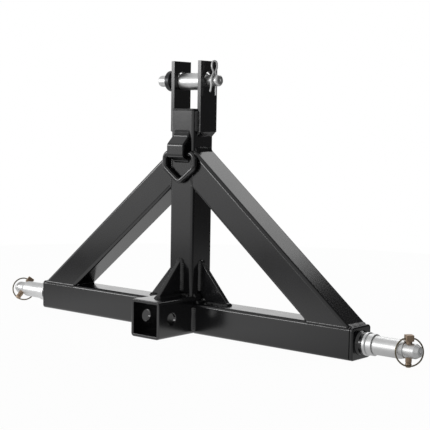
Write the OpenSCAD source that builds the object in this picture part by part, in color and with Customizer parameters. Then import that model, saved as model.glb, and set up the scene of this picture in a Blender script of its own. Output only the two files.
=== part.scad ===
// Three-point receiver hitch: a welded A-frame of square tube that hangs on a
// tractor's two lower links and its top link, and offers a 2 inch receiver in front.
// Axes: X to the right, Y to the back, Z up. The origin is under the mast, on the
// plane that the frame stands on. All sizes are in millimetres.

/* [Frame tube] */
// Outside width of the square tube that the frame is made of
tube_w = 50.8; // [44:0.1:60]
// Wall of the frame tube
tube_wall = 4.8; // [3:0.1:6]
// Outside corner radius of the frame tube
tube_r = 5.5; // [4:0.1:8]
// Length of the crossbar over both end plates
bar_span = 692; // [600:1:800]
// Thickness of the plates that close the crossbar
end_plate_t = 6.4; // [4:0.1:10]

/* [Receiver] */
// Square bore of the receiver tube
recv_bore = 52; // [50:0.1:54]
// Wall of the receiver tube
recv_wall = 5; // [4.5:0.1:8]
// Outside corner radius of the receiver tube
recv_r = 5.5; // [4:0.1:8]
// How far the receiver stands out in front of the frame
recv_nose = 84.2; // [60:0.1:120]
// Edge break round the mouth of the receiver
mouth_break = 0.8; // [0.3:0.1:2]
// Diameter of the hole for the hitch pin
hitch_hole_d = 20; // [16:0.1:22]
// Distance of that hole behind the mouth
hitch_hole_set = 30.7; // [20:0.1:45]

/* [Mast and braces] */
// Height of the mast with its cap
mast_top = 374.2; // [340:0.1:420]
// Thickness of the cap plate on the mast
cap_t = 3.2; // [2:0.1:6]
// Distance from the middle to the outer toe of a brace
brace_foot = 338; // [290:1:338]
// Height at which the top edge of a brace meets the mast
brace_head = 306; // [240:1:320]

/* [Gussets] */
// Thickness of the gusset plates
gusset_t = 8; // [5:0.1:12]
// Reach of a side gusset along the crossbar
side_gusset_run = 60; // [40:1:80]
// Height of a side gusset on the mast
side_gusset_rise = 67; // [45:1:90]
// Reach of the front gusset along the receiver
front_gusset_run = 54; // [35:1:56]
// Height of the front gusset on the mast
front_gusset_rise = 58.5; // [40:0.5:75]
// Blunt end at each tip of a gusset
gusset_tip = 4; // [2:0.1:8]
// Room that a gusset's snipped corner leaves round the frame's own welds
snip_gap = 0.4; // [0.3:0.1:4]

/* [Clevis ears] */
// Thickness of an ear plate
ear_t = 7.9; // [6:0.1:12]
// Width of an ear plate, front to back
ear_w = 41.3; // [38:0.1:46]
// Height of the ears above the mast's top
ear_rise = 79; // [60:0.5:100]
// Length of ear that laps the mast
ear_lap = 38.4; // [28:0.1:60]
// How far the ears' centre line lies behind the mast's
ear_set_back = 3.3; // [0:0.1:4]
// Hole in each ear
ear_hole_d = 24.4; // [20:0.1:28]
// Distance from the top of an ear down to its hole
ear_hole_drop = 29.9; // [24:0.1:40]

/* [Top link pin] */
// Diameter of the top link pin
top_pin_d = 19.05; // [18:0.05:20]
// Reach of the pin to the left of the middle
top_pin_left = 77; // [66:0.5:90]
// Reach of the pin to the right of the middle
top_pin_right = 57; // [54:0.5:70]
// Diameter of the collar on the pin
top_collar_d = 35; // [30:0.1:40]
// Thickness of that collar
top_collar_t = 9.5; // [6:0.1:12]
// Free play between the collar and the left ear
top_collar_play = 9.9; // [2:0.1:12]
// Outside diameter of the bushing between the ears
top_bush_d = 28.6; // [24:0.1:30]
// How much wider than the pin that bushing is bored
top_bush_play = 2.7; // [0.2:0.1:4]

/* [Hairpin clip] */
// Wire diameter of the hairpin clip
clip_wire = 3.1; // [2:0.1:3.3]
// Distance from the end of the top link pin to the clip
clip_inset = 9.6; // [7:0.1:12]
// Length of straight leg below the pin's axis
clip_leg = 24.5; // [18:0.5:30]
// Height of the clip's eye above the pin's axis
clip_eye = 32; // [30:0.5:40]

/* [Lower link pins] */
// Diameter of the lower link pins
low_pin_d = 22.2; // [19:0.1:25]
// Outside diameter of the bushing that steps a pin up one size
low_bush_d = 28.6; // [28:0.1:32]
// Length of that bushing
low_bush_len = 50.6; // [40:0.1:60]
// Bevel at the outer end of the bushing, along the pin
bush_bevel_len = 7; // [6:0.1:8]
// Depth of that bevel
bush_bevel = 2; // [1.8:0.1:2.4]
// Diameter of the forged flange of a pin
pin_flange_d = 35.6; // [33:0.1:42]
// Diameter of the shoulder in front of the flange
pin_shoulder_d = 33; // [30:0.1:40]
// Length of flange and shoulder together
pin_shoulder_len = 15; // [10:0.1:20]
// Length of the painted boss between end plate and flange
boss_len = 10.4; // [6:0.1:14]
// Diameter of that boss at the flange
boss_d = 35; // [32:0.1:40]
// Bare pin from the bushing's end to the pin's tip
pin_tail = 24.7; // [20:0.1:32]
// Length of the tapered tip
pin_nose = 7; // [3:0.1:9]
// Diameter of the pin's end face
pin_tip_d = 14; // [10:0.1:18]
// Length of pin that is let into the crossbar
pin_root = 15; // [10:0.5:30]

/* [Lynch pins] */
// Diameter of the lynch pin's shank
lynch_d = 9.5; // [7:0.1:10]
// Length of shank below the lower pin's axis
lynch_tip = 25; // [22:0.1:25]
// Height of the lynch pin's head
lynch_head_h = 9.6; // [9:0.1:14]
// Width of the lynch pin's head
lynch_head_w = 12.6; // [11:0.1:13]
// Wire diameter of the lynch pin's ring
lynch_wire = 2.4; // [2:0.1:3]
// Radius of the ring to the middle of its wire
lynch_ring_r = 21; // [20:0.1:21.5]
// Turn of the right lynch pin about its shank
lynch_turn_right = 42; // [0:1:45]
// Turn of the left lynch pin about its shank
lynch_turn_left = -34; // [-45:1:0]
// Roll of the left lynch pin about the lower pin
lynch_roll_left = -45; // [-90:1:0]

/* [Lashing ring] */
// Bar diameter of the lashing ring
ring_bar = 9.5; // [7:0.1:10]
// Outside width of the lashing ring
ring_w = 74; // [66:0.5:78]
// Outside height of the lashing ring
ring_h = 54.6; // [54:0.1:70]
// Height of the ring's bar above the ground plane
ring_z = 299.9; // [250:0.1:305]

/* [Ring bracket] */
// Width of the bent strap that holds the ring
strap_w = 35; // [26:0.5:40]
// Thickness of the strap
strap_t = 4.8; // [3:0.1:5]
// Depth of the strap over the mast's front
strap_out = 18; // [17.5:0.1:24]
// Height of the strap where it is welded on
strap_foot_h = 45; // [38:0.5:52]
// Height of the strap's flat front
strap_flat_h = 21; // [14:0.5:26]

/* [Welds] */
// Leg of the fillets that join the frame tubes
frame_leg = 5; // [3:0.1:7]
// Leg of the fillets along the gussets
gusset_leg = 4.5; // [3:0.1:6]
// Leg of the fillet under each ear
ear_leg = 7.6; // [4:0.1:9]

/* [Fits] */
// Radial clearance of a running fit
run_gap = 0.1; // [0.02:0.01:0.1]
// Clearance between pieces that only face each other
seat_gap = 0.35; // [0.3:0.05:0.5]

/* [Hidden] */
$fn = 64;
eps = 0.01;
far = 1000;

paint = "#26282b";
bead = "#303236";
zinc = "#c4c7ca";
bronze = "#8c765f";
spring = "#55503f";
bright = "#d9dadb";

// Frame heights and places
recv_w = recv_bore + 2 * recv_wall;
half_tube = tube_w / 2;
half_recv = recv_w / 2;
half_span = bar_span / 2;
axis_z = half_tube;
plate_in = half_span - end_plate_t;
recv_len = recv_nose + tube_w;
mouth_y = -half_tube - recv_nose;
hitch_hole_y = mouth_y + hitch_hole_set;
mast_len = mast_top - cap_t - recv_w;
brace_a = atan((brace_head - tube_w) / (brace_foot - half_tube));

// Ears and top link pin
ear_top = mast_top + ear_rise;
ear_bottom = mast_top - ear_lap;
ear_out = half_tube + ear_t;
ear_hole_z = ear_top - ear_hole_drop;
top_pin_z = ear_hole_z - (ear_hole_d - top_pin_d) / 2 + run_gap;
top_bush_z = top_pin_z - top_bush_play / 2 + run_gap;
top_collar_x = -ear_out - top_collar_play;
clip_x = top_pin_right - clip_inset;
clip_side = ceil(10 * (top_pin_d / 2 + seat_gap + clip_wire / 2)) / 10;
clip_play = 0.1;
pin_chamfer = 2.5;
edge_break = 1;

// Lower pins, from the end plate outwards
flange_x = half_span + boss_len;
shoulder_x = flange_x + pin_shoulder_len;
flange_t = 4.6;
groove_t = 1;
groove_depth = 1.2;
bush_x = shoulder_x + seat_gap;
bush_end = bush_x + low_bush_len;
pin_end = bush_end + pin_tail;
lynch_x = bush_end + seat_gap + lynch_d / 2;

// Lynch pin, along its shank from the lower pin's axis
head_low = low_bush_d / 2 - bush_bevel / 2 + seat_gap;
hinge_h = head_low + lynch_wire / 2 + 2.9;
ring_half_gap = lynch_head_w / 2 + lynch_wire / 2 + 0.5;
ring_drop = sqrt(pow(lynch_ring_r, 2) - pow(ring_half_gap, 2));
ring_tilt = asin((lynch_d / 2 + lynch_wire / 2 + seat_gap) / (ring_drop + lynch_ring_r));

// Lashing ring and its bracket
mast_front = -half_tube;
ring_y = mast_front - ring_bar / 2 - 0.45;
strap_low = ring_z - ring_bar / 2 - 7.6;
strap_bend_low = strap_low + 6.5;
strap_bend_high = strap_bend_low + strap_flat_h;
strap_high = strap_low + strap_foot_h;

// Snips of the gussets
front_snip = frame_leg + snip_gap;
side_snip = recv_w - tube_w + front_snip;

// A square with round corners, made of plain squares and circles
module round_square(w, r) {
    square([w, w - 2 * r], center = true);
    square([w - 2 * r, w], center = true);
    for (x = [-1, 1], y = [-1, 1])
        translate([x * (w / 2 - r), y * (w / 2 - r)]) circle(r);
}

// A square tube that stands on the origin along Z
module square_tube(w, wall, r, len) {
    linear_extrude(len) difference() {
        round_square(w, r);
        round_square(w - 2 * wall, max(r - wall, 0.7));
    }
}

// The solid outline of a tube, for trimming what lies against it
module tube_core(w, r, len) {
    linear_extrude(len) round_square(w, r);
}

// A cylinder along X between two places
module x_rod(d, x0, x1) {
    translate([x0, 0, 0]) rotate([0, 90, 0]) cylinder(d = d, h = x1 - x0);
}

// A turned piece along X from a profile of [radius, x] points
module turned(profile) {
    rotate([90, 0, 90]) rotate([0, 0, 90]) rotate_extrude() polygon(profile);
}

// A plate outline in the XZ plane, carried along Y
module xz_slab(points, y0, y1) {
    translate([0, y1, 0]) rotate([90, 0, 0]) linear_extrude(y1 - y0) polygon(points);
}

// A plate outline in the YZ plane, carried along X
module yz_slab(points, x0, x1) {
    translate([x0, 0, 0]) rotate([90, 0, 90]) linear_extrude(x1 - x0) polygon(points);
}

function unit2(v) = v / norm(v);
function turn_of(a, b) = atan2(a[0] * b[1] - a[1] * b[0], a[0] * b[0] + a[1] * b[1]);

// One bend of a round bar, up to a square one. A wedge cuts the end of a lesser bend.
module bend(r, d, turn) {
    reach = 4 * (r + d);
    if (turn > 89.9) rotate_extrude(angle = 90) translate([r, 0]) circle(d = d);
    else intersection() {
        rotate_extrude(angle = 90) translate([r, 0]) circle(d = d);
        translate([0, 0, -d]) linear_extrude(2 * d)
            polygon([[0, 0], [reach, -reach], 2 * reach * [cos(turn), sin(turn)]]);
    }
}

// A round bar bent in the XY plane through points, with a radius at each bend.
// A closed bar ends where it begins, halfway along its first stretch. Every slope
// is 3 to 4 or 7 to 24, whose exact sines keep the pieces' end faces together.
module bent_bar(points, radii, d) {
    n = len(points);
    dirs = [for (i = [0 : n - 2]) unit2(points[i + 1] - points[i])];
    turns = [for (i = [1 : n - 2]) turn_of(dirs[i - 1], dirs[i])];
    cuts = [for (i = [0 : n - 1])
        (i == 0 || i == n - 1) ? 0 : radii[i - 1] * tan(abs(turns[i - 1]) / 2)];
    for (i = [0 : n - 2]) {
        run = norm(points[i + 1] - points[i]) - cuts[i] - cuts[i + 1];
        start = points[i] + dirs[i] * cuts[i];
        translate([start[0], start[1], 0])
            rotate([0, 0, atan2(dirs[i][1], dirs[i][0])])
                rotate([0, 90, 0]) cylinder(d = d, h = run);
    }
    for (i = [1 : n - 2]) {
        side = turns[i - 1] > 0 ? 1 : -1;
        inward = [-dirs[i - 1][1], dirs[i - 1][0]] * side;
        middle = points[i] - dirs[i - 1] * cuts[i] + inward * radii[i - 1];
        first = atan2(-inward[1], -inward[0]) + min(turns[i - 1], 0);
        translate([middle[0], middle[1], 0]) rotate([0, 0, first])
            bend(radii[i - 1], d, abs(turns[i - 1]));
    }
}

// Receiver and crossbar

module receiver_tube() {
    color(paint) difference() {
        translate([0, half_tube, half_recv]) rotate([90, 0, 0])
            square_tube(recv_w, recv_wall, recv_r, recv_len);
        translate([0, hitch_hole_y, half_recv])
            x_rod(hitch_hole_d, -recv_w, recv_w);
        for (a = [0 : 90 : 270])
            translate([0, mouth_y, half_recv]) rotate([0, a, 0])
                yz_slab([
                    [-eps, recv_bore / 2 - 1],
                    [-eps, recv_bore / 2 + mouth_break],
                    [mouth_break, recv_bore / 2],
                    [mouth_break, recv_bore / 2 - 1]
                ], -recv_bore / 2 + 1, recv_bore / 2 - 1);
    }
}

module crossbar() {
    translate([half_recv, 0, axis_z]) rotate([0, 90, 0])
        square_tube(tube_w, tube_wall, tube_r, plate_in - half_recv);
}
module crossbar_left() { color(paint) mirror([1, 0, 0]) crossbar(); }
module crossbar_right() { color(paint) crossbar(); }

module end_plate() {
    difference() {
        translate([plate_in, 0, axis_z]) rotate([0, 90, 0])
            tube_core(tube_w, tube_r, end_plate_t);
        translate([0, 0, axis_z])
            x_rod(low_pin_d + 2 * run_gap, plate_in - 1, half_span + 1);
    }
}
module end_plate_left() { color(paint) mirror([1, 0, 0]) end_plate(); }
module end_plate_right() { color(paint) end_plate(); }

// Mast and braces

module mast_post() {
    color(paint) translate([0, 0, recv_w]) square_tube(tube_w, tube_wall, tube_r, mast_len);
}

module mast_cap() {
    lip = 0.8;
    color(paint) translate([0, 0, mast_top - cap_t]) {
        tube_core(tube_w - 2 * lip, tube_r - lip, cap_t - lip);
        translate([0, 0, cap_t - lip])
            tube_core(tube_w - 4 * lip, tube_r - 2 * lip, lip);
    }
}

module brace() {
    run = norm([brace_foot - half_tube, brace_head - tube_w]);
    intersection() {
        translate([brace_foot, 0, tube_w]) rotate([0, brace_a - 90, 0])
            translate([-half_tube, 0, -tube_w])
                square_tube(tube_w, tube_wall, tube_r, run + 2 * tube_w);
        translate([half_tube, -tube_w, tube_w])
            cube([brace_foot, 2 * tube_w, brace_head]);
    }
}
module brace_left() { color(paint) mirror([1, 0, 0]) brace(); }
module brace_right() { color(paint) brace(); }

// Gussets: a triangle with blunt tips and a snipped inner corner

function gusset_outline(run, rise, snip) = [
    [snip, 0], [run, 0], [run, gusset_tip], [gusset_tip, rise], [0, rise], [0, snip]
];

module side_gusset() {
    translate([half_tube, 0, tube_w])
        xz_slab(gusset_outline(side_gusset_run, side_gusset_rise, side_snip),
            -gusset_t / 2, gusset_t / 2);
}
module gusset_left() { color(paint) mirror([1, 0, 0]) side_gusset(); }
module gusset_right() { color(paint) side_gusset(); }

module front_gusset() {
    color(paint) translate([0, mast_front, recv_w]) mirror([0, 1, 0])
        yz_slab(gusset_outline(front_gusset_run, front_gusset_rise, front_snip),
            -gusset_t / 2, gusset_t / 2);
}

// Clevis ears

module ear() {
    difference() {
        translate([half_tube, ear_set_back - ear_w / 2, ear_bottom])
            cube([ear_t, ear_w, ear_top - ear_bottom]);
        translate([0, ear_set_back, ear_hole_z])
            x_rod(ear_hole_d, half_tube - 1, ear_out + 1);
    }
}
module ear_left() { color(paint) mirror([1, 0, 0]) ear(); }
module ear_right() { color(paint) ear(); }

// Bracket of bent strap that traps the lashing ring against the mast

module ring_bracket() {
    slope_low = atan((strap_bend_low - strap_low) / strap_out);
    rise_high = strap_high - strap_bend_high;
    slope_high = atan(rise_high / strap_out);
    face_low = strap_t / cos(slope_low);
    face_high = strap_t / cos(slope_high);
    inside = strap_out - strap_t;
    color(paint) translate([0, mast_front, 0]) mirror([0, 1, 0])
        yz_slab([
            [0, strap_low],
            [strap_out, strap_bend_low],
            [strap_out, strap_bend_high],
            [0, strap_high],
            [0, strap_high - face_high],
            [inside, strap_high - face_high - inside * tan(slope_high)],
            [inside, strap_low + face_low + inside * tan(slope_low)],
            [0, strap_low + face_low]
        ], -strap_w / 2, strap_w / 2);
}

// Lower link pins

module pin_boss() {
    foot = 2;
    translate([0, 0, axis_z]) turned([
        [low_pin_d / 2 + run_gap, half_span],
        [boss_d / 2 + foot, half_span],
        [boss_d / 2, half_span + 2 * foot],
        [boss_d / 2, flange_x],
        [low_pin_d / 2 + run_gap, flange_x]
    ]);
}
module pin_boss_left() { color(paint) mirror([1, 0, 0]) pin_boss(); }
module pin_boss_right() { color(paint) pin_boss(); }

module hitch_pin(roll) {
    rim = 0.8;
    translate([0, 0, axis_z]) difference() {
        turned([
            [0, half_span - pin_root],
            [low_pin_d / 2, half_span - pin_root],
            [low_pin_d / 2, flange_x],
            [pin_flange_d / 2, flange_x],
            [pin_flange_d / 2, flange_x + flange_t - rim],
            [pin_flange_d / 2 - rim, flange_x + flange_t],
            [pin_shoulder_d / 2 - groove_depth, flange_x + flange_t],
            [pin_shoulder_d / 2 - groove_depth, flange_x + flange_t + groove_t],
            [pin_shoulder_d / 2, flange_x + flange_t + groove_t],
            [pin_shoulder_d / 2, shoulder_x - edge_break],
            [pin_shoulder_d / 2 - edge_break, shoulder_x],
            [low_pin_d / 2, shoulder_x],
            [low_pin_d / 2, pin_end - pin_nose],
            [pin_tip_d / 2 + edge_break, pin_end - edge_break],
            [pin_tip_d / 2, pin_end],
            [0, pin_end]
        ]);
        translate([lynch_x, 0, 0]) rotate([roll, 0, 0])
            cylinder(d = lynch_d + 2 * run_gap, h = 2 * low_pin_d, center = true);
    }
}
module hitch_pin_left() { color(zinc) mirror([1, 0, 0]) hitch_pin(lynch_roll_left); }
module hitch_pin_right() { color(zinc) hitch_pin(0); }

module pin_bushing() {
    bore = low_pin_d / 2 + run_gap;
    translate([0, 0, axis_z]) turned([
        [bore, bush_x],
        [low_bush_d / 2 - edge_break, bush_x],
        [low_bush_d / 2, bush_x + edge_break],
        [low_bush_d / 2, bush_end - bush_bevel_len],
        [low_bush_d / 2 - bush_bevel, bush_end],
        [bore, bush_end]
    ]);
}
module pin_bushing_left() { color(zinc) mirror([1, 0, 0]) pin_bushing(); }
module pin_bushing_right() { color(zinc) pin_bushing(); }

// Lynch pins. Each is drawn with its shank along Z through the lower pin's axis
// and its ring on the +X side, then turned, rolled and carried to its hole.

module at_lynch_hole(turn, roll) {
    translate([lynch_x, 0, axis_z]) rotate([roll, 0, 0]) rotate([0, 0, -turn]) children();
}

module lynch_pin() {
    taper = 1.2;
    chamfer = 1.6;
    half = lynch_head_w / 2;
    difference() {
        union() {
            translate([0, 0, -lynch_tip]) cylinder(d1 = lynch_d - 2 * taper, d2 = lynch_d, h = 2 * taper);
            translate([0, 0, 2 * taper - lynch_tip])
                cylinder(d = lynch_d, h = lynch_tip - 2 * taper + head_low);
            translate([0, 0, head_low]) linear_extrude(lynch_head_h) polygon([
                [half - chamfer, -half], [half, chamfer - half], [half, half - chamfer],
                [half - chamfer, half], [chamfer - half, half], [-half, half - chamfer],
                [-half, chamfer - half], [chamfer - half, -half]
            ]);
        }
        translate([0, 0, hinge_h]) rotate([90, 0, 0])
            cylinder(d = lynch_wire + 2 * run_gap, h = 2 * lynch_head_w, center = true);
    }
}

module lynch_ring() {
    open = asin(ring_half_gap / lynch_ring_r);
    translate([0, 0, hinge_h]) rotate([0, -ring_tilt, 0]) {
        rotate([90, 0, 0]) cylinder(d = lynch_wire, h = 2 * ring_half_gap, center = true);
        for (s = [-1, 1]) translate([0, s * ring_half_gap, 0]) sphere(d = lynch_wire);
        translate([0, 0, -ring_drop]) rotate([90, 0, 90]) rotate([0, 0, 90 + open])
            rotate_extrude(angle = 360 - 2 * open)
                translate([lynch_ring_r, 0]) circle(d = lynch_wire);
    }
}

module lynch_pin_left() {
    color(bronze) mirror([1, 0, 0]) at_lynch_hole(lynch_turn_left, lynch_roll_left) lynch_pin();
}
module lynch_pin_right() {
    color(bronze) at_lynch_hole(lynch_turn_right, 0) lynch_pin();
}
module lynch_ring_left() {
    color(spring) mirror([1, 0, 0]) at_lynch_hole(lynch_turn_left, lynch_roll_left) lynch_ring();
}
module lynch_ring_right() {
    color(spring) at_lynch_hole(lynch_turn_right, 0) lynch_ring();
}

// Lashing ring: a bar through the bracket, two upright sides and a V below

module lashing_ring() {
    side = (ring_w - ring_bar) / 2;
    top_bend = 9.5;
    low_bend = 10;
    point = ring_h - ring_bar + low_bend / 4;
    shoulder = point - side * 3 / 4;
    color(paint) translate([0, ring_y, ring_z]) rotate([90, 0, 0])
        bent_bar([
            [0, 0], [side, 0], [side, -shoulder], [0, -point],
            [-side, -shoulder], [-side, 0], [0, 0]
        ], [top_bend, low_bend, low_bend, low_bend, top_bend], ring_bar);
}

// Top link pin with its bushing and clip

module top_link_pin() {
    neck = top_pin_d / 2;
    rim = top_collar_d / 2;
    color(zinc) translate([0, ear_set_back, top_pin_z]) difference() {
        turned([
            [0, -top_pin_left],
            [neck - 2 * pin_chamfer, -top_pin_left],
            [neck - edge_break, pin_chamfer - top_pin_left],
            [neck, 2 * pin_chamfer - top_pin_left],
            [neck, top_collar_x - top_collar_t],
            [rim - edge_break, top_collar_x - top_collar_t],
            [rim, top_collar_x - top_collar_t + edge_break],
            [rim, top_collar_x - edge_break],
            [rim - edge_break, top_collar_x],
            [neck, top_collar_x],
            [neck, top_pin_right - pin_chamfer],
            [neck - pin_chamfer, top_pin_right],
            [0, top_pin_right]
        ]);
        translate([clip_x, 0, 0])
            cylinder(d = clip_wire + 2 * clip_play, h = 2 * top_pin_d, center = true);
    }
}

module top_link_bushing() {
    half = half_tube - seat_gap;
    bore = (top_pin_d + top_bush_play) / 2;
    rim = top_bush_d / 2;
    color(zinc) translate([0, ear_set_back, top_bush_z]) turned([
        [bore, -half], [rim - edge_break, -half], [rim, edge_break - half],
        [rim, half - edge_break], [rim - edge_break, half], [bore, half]
    ]);
}

module hairpin_clip() {
    near = -2.4;
    eye_side = clip_side - 0.9;
    neck = clip_side - 6;
    waist = 13.6;
    eye_low = 20.4;
    color(bright) translate([clip_x, ear_set_back, top_pin_z]) rotate([90, 0, -90])
        bent_bar([
            [0, -clip_leg], [0, 10], [2.7, waist], [near, eye_low], [near, clip_eye],
            [eye_side, clip_eye], [eye_side, eye_low], [neck, waist], [clip_side, 5.6],
            [clip_side, -9.6], [clip_side + 2.8, -19.2]
        ], [3, 4, 6, 6, 6, 6, 4, 6, 7], clip_wire);
}

// Weld beads. A bead is a three-sided bar that fills a corner, trimmed by what
// it lies on, so it follows the round edges of the tubes.

module upright_bead(x, y, dx, dy, z0, z1) {
    translate([0, 0, z0]) linear_extrude(z1 - z0)
        polygon([[x, y], [x + dx, y], [x, y + dy]]);
}

module receiver_welds() {
    top_leg = min(frame_leg, recv_w - recv_r - tube_w);
    cap = 1.2;
    color(bead) difference() {
        for (s = [-1, 1]) {
            upright_bead(s * half_recv, -half_tube, s * frame_leg, -frame_leg,
                tube_r, tube_w - tube_r);
            translate([s * half_recv, half_tube, tube_r])
                linear_extrude(tube_w - 2 * tube_r) polygon([
                    [-frame_leg + cap, 0], [frame_leg, 0],
                    [frame_leg - cap, cap], [2 * cap - frame_leg, cap]
                ]);
            xz_slab([
                [s * half_recv, tube_w],
                [s * (half_recv + frame_leg), tube_w],
                [s * half_recv, tube_w + top_leg]
            ], tube_r - half_tube, half_tube - tube_r);
        }
        translate([0, half_tube, half_recv]) rotate([90, 0, 0])
            tube_core(recv_w, recv_r, recv_len);
        translate([-half_span, 0, axis_z]) rotate([0, 90, 0])
            tube_core(tube_w, tube_r, bar_span);
    }
}

module mast_foot_welds() {
    flat = half_tube - tube_r;
    color(bead) difference() {
        union() {
            for (s = [-1, 1])
                xz_slab([
                    [s * (half_tube - 1), recv_w - 2],
                    [s * (half_tube + frame_leg), recv_w - 2],
                    [s * (half_tube + frame_leg), recv_w],
                    [s * half_tube, recv_w + frame_leg],
                    [s * (half_tube - 1), recv_w + frame_leg]
                ], -flat, flat);
            yz_slab([
                [mast_front, recv_w],
                [mast_front - frame_leg, recv_w],
                [mast_front, recv_w + frame_leg]
            ], -flat, flat);
        }
        translate([0, 0, recv_w]) tube_core(tube_w, tube_r, mast_len);
        translate([0, half_tube, half_recv]) rotate([90, 0, 0])
            tube_core(recv_w, recv_r, recv_len);
    }
}

module brace_weld_set() {
    flat = half_tube - tube_r;
    low_z = brace_head - tube_w / cos(brace_a);
    low_x = brace_foot - tube_w / sin(brace_a);
    along = [-cos(brace_a), sin(brace_a)];
    head = [half_tube, brace_head];
    heel = [half_tube, low_z];
    toe = [low_x, tube_w];
    tip = [brace_foot, tube_w];
    xz_slab([head, head + [0, frame_leg], head - along * frame_leg], -flat, flat);
    xz_slab([heel, heel - [0, frame_leg], heel - along * frame_leg], -flat, flat);
    xz_slab([toe, toe - [frame_leg, 0], toe + along * frame_leg], -flat, flat);
    xz_slab([tip, tip + [frame_leg / 2, 0], tip + along * frame_leg / 2], -flat, flat);
    difference() {
        for (f = [-1, 1])
            translate([low_x, f * (half_tube - tube_r / 2), tube_w - tube_r / 2])
                translate([0, -tube_r / 2, -tube_r / 2])
                    cube([brace_foot - low_x, tube_r, tube_r]);
        translate([0, 0, axis_z]) rotate([0, 90, 0])
            tube_core(tube_w, tube_r, half_span);
    }
    difference() {
        for (f = [-1, 1])
            translate([half_tube - tube_r, f * (half_tube - tube_r / 2) - tube_r / 2, low_z])
                cube([tube_r, tube_r, brace_head - low_z]);
        tube_core(tube_w, tube_r, mast_top);
    }
}
module brace_welds() {
    color(bead) {
        brace_weld_set();
        mirror([1, 0, 0]) brace_weld_set();
    }
}

// Two beads along each edge of a gusset, drawn for a plate in the XZ plane
module gusset_weld_set(run, rise, snip) {
    for (f = [-1, 1]) {
        edge = f * gusset_t / 2;
        translate([snip, 0, 0]) rotate([90, 0, 90]) linear_extrude(run - snip)
            polygon([[edge, 0], [edge + f * gusset_leg, 0], [edge, gusset_leg]]);
        upright_bead(0, edge, gusset_leg, f * gusset_leg, snip, rise);
    }
}

module gusset_welds() {
    color(bead) {
        for (m = [0, 1]) mirror([m, 0, 0])
            translate([half_tube, 0, tube_w])
                gusset_weld_set(side_gusset_run, side_gusset_rise, side_snip);
        translate([0, mast_front, recv_w]) rotate([0, 0, -90])
            gusset_weld_set(front_gusset_run, front_gusset_rise, front_snip);
    }
}

module ear_weld_set() {
    front = ear_set_back - ear_w / 2;
    back = ear_set_back + ear_w / 2;
    lap_top = mast_top - cap_t;
    difference() {
        union() {
            xz_slab([
                [half_tube - tube_r, ear_bottom], [ear_out, ear_bottom],
                [half_tube, ear_bottom - ear_leg], [half_tube - tube_r, ear_bottom - ear_leg]
            ], front, back);
            upright_bead(half_tube, front, ear_t - 1, front - tube_r, ear_bottom, lap_top);
            translate([half_tube - tube_r, half_tube - tube_r, ear_bottom])
                cube([tube_r, back - half_tube + tube_r, lap_top - ear_bottom]);
        }
        tube_core(tube_w, tube_r, mast_top);
        translate([0, front - far, ear_bottom - far / 2])
            cube([far, far - ear_t / 2, far]);
    }
}
module ear_welds() {
    color(bead) {
        ear_weld_set();
        mirror([1, 0, 0]) ear_weld_set();
    }
}

module bracket_welds() {
    reach = 6;
    rise_high = strap_high - strap_bend_high;
    slope_high = atan(rise_high / strap_out);
    lean = [cos(slope_high), -sin(slope_high)];
    color(bead) translate([0, mast_front, 0]) mirror([0, 1, 0])
        yz_slab([
            [0, strap_high],
            lean * reach + [0, strap_high],
            [0, strap_high + reach]
        ], -strap_w / 2, strap_w / 2);
}

receiver_tube();
crossbar_left();
crossbar_right();
end_plate_left();
end_plate_right();
mast_post();
mast_cap();
brace_left();
brace_right();
front_gusset();
gusset_left();
gusset_right();
ear_left();
ear_right();
ring_bracket();
pin_boss_left();
pin_boss_right();
hitch_pin_left();
hitch_pin_right();
receiver_welds();
mast_foot_welds();
brace_welds();
gusset_welds();
ear_welds();
bracket_welds();
lashing_ring();
top_link_pin();
top_link_bushing();
hairpin_clip();
pin_bushing_left();
pin_bushing_right();
lynch_pin_left();
lynch_pin_right();
lynch_ring_left();
lynch_ring_right();
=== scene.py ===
"""Looks of a three-point receiver hitch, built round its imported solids.

Each sub-assembly of the hitch is a class that holds its sizes in millimetres and builds
its surfaces as numpy grids. Axes: X to the right, Y to the back, Z up; the origin is under
the mast, on the plane that the frame stands on.
"""

import logging
import math
from dataclasses import dataclass, field
from enum import Enum
from typing import Callable, Mapping, Sequence

import bmesh
import bpy
import numpy as np
from mathutils import Matrix

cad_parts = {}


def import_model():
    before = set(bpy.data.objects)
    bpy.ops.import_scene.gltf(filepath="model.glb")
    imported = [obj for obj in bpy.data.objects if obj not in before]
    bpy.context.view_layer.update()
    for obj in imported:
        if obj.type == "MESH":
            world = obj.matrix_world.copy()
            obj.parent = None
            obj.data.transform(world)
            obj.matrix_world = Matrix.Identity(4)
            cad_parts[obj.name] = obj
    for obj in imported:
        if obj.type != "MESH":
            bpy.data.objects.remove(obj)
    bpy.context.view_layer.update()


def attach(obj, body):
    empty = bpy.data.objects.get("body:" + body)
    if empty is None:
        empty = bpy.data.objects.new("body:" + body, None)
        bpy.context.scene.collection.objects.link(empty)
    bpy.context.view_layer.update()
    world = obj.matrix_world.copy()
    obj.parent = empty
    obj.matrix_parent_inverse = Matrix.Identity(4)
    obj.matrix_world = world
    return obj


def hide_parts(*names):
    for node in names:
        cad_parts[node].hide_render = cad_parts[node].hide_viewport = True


Array = np.ndarray
LOG = logging.getLogger("receiver_hitch")
MM = 0.001
# Distance from a rounded edge at which one more row of points keeps the flat side flat.
FLAT_KEEP = 0.35


class Side(Enum):
    """Which end of the crossbar a piece belongs to, as the sign of its X."""

    LEFT = -1
    RIGHT = 1

    @property
    def word(self) -> str:
        """The side's name as the solids' names spell it."""
        return self.name.lower()


class Axis(Enum):
    """A row axis that a turned piece lies along."""

    X = 0
    Y = 1
    Z = 2


# Finishes


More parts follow.
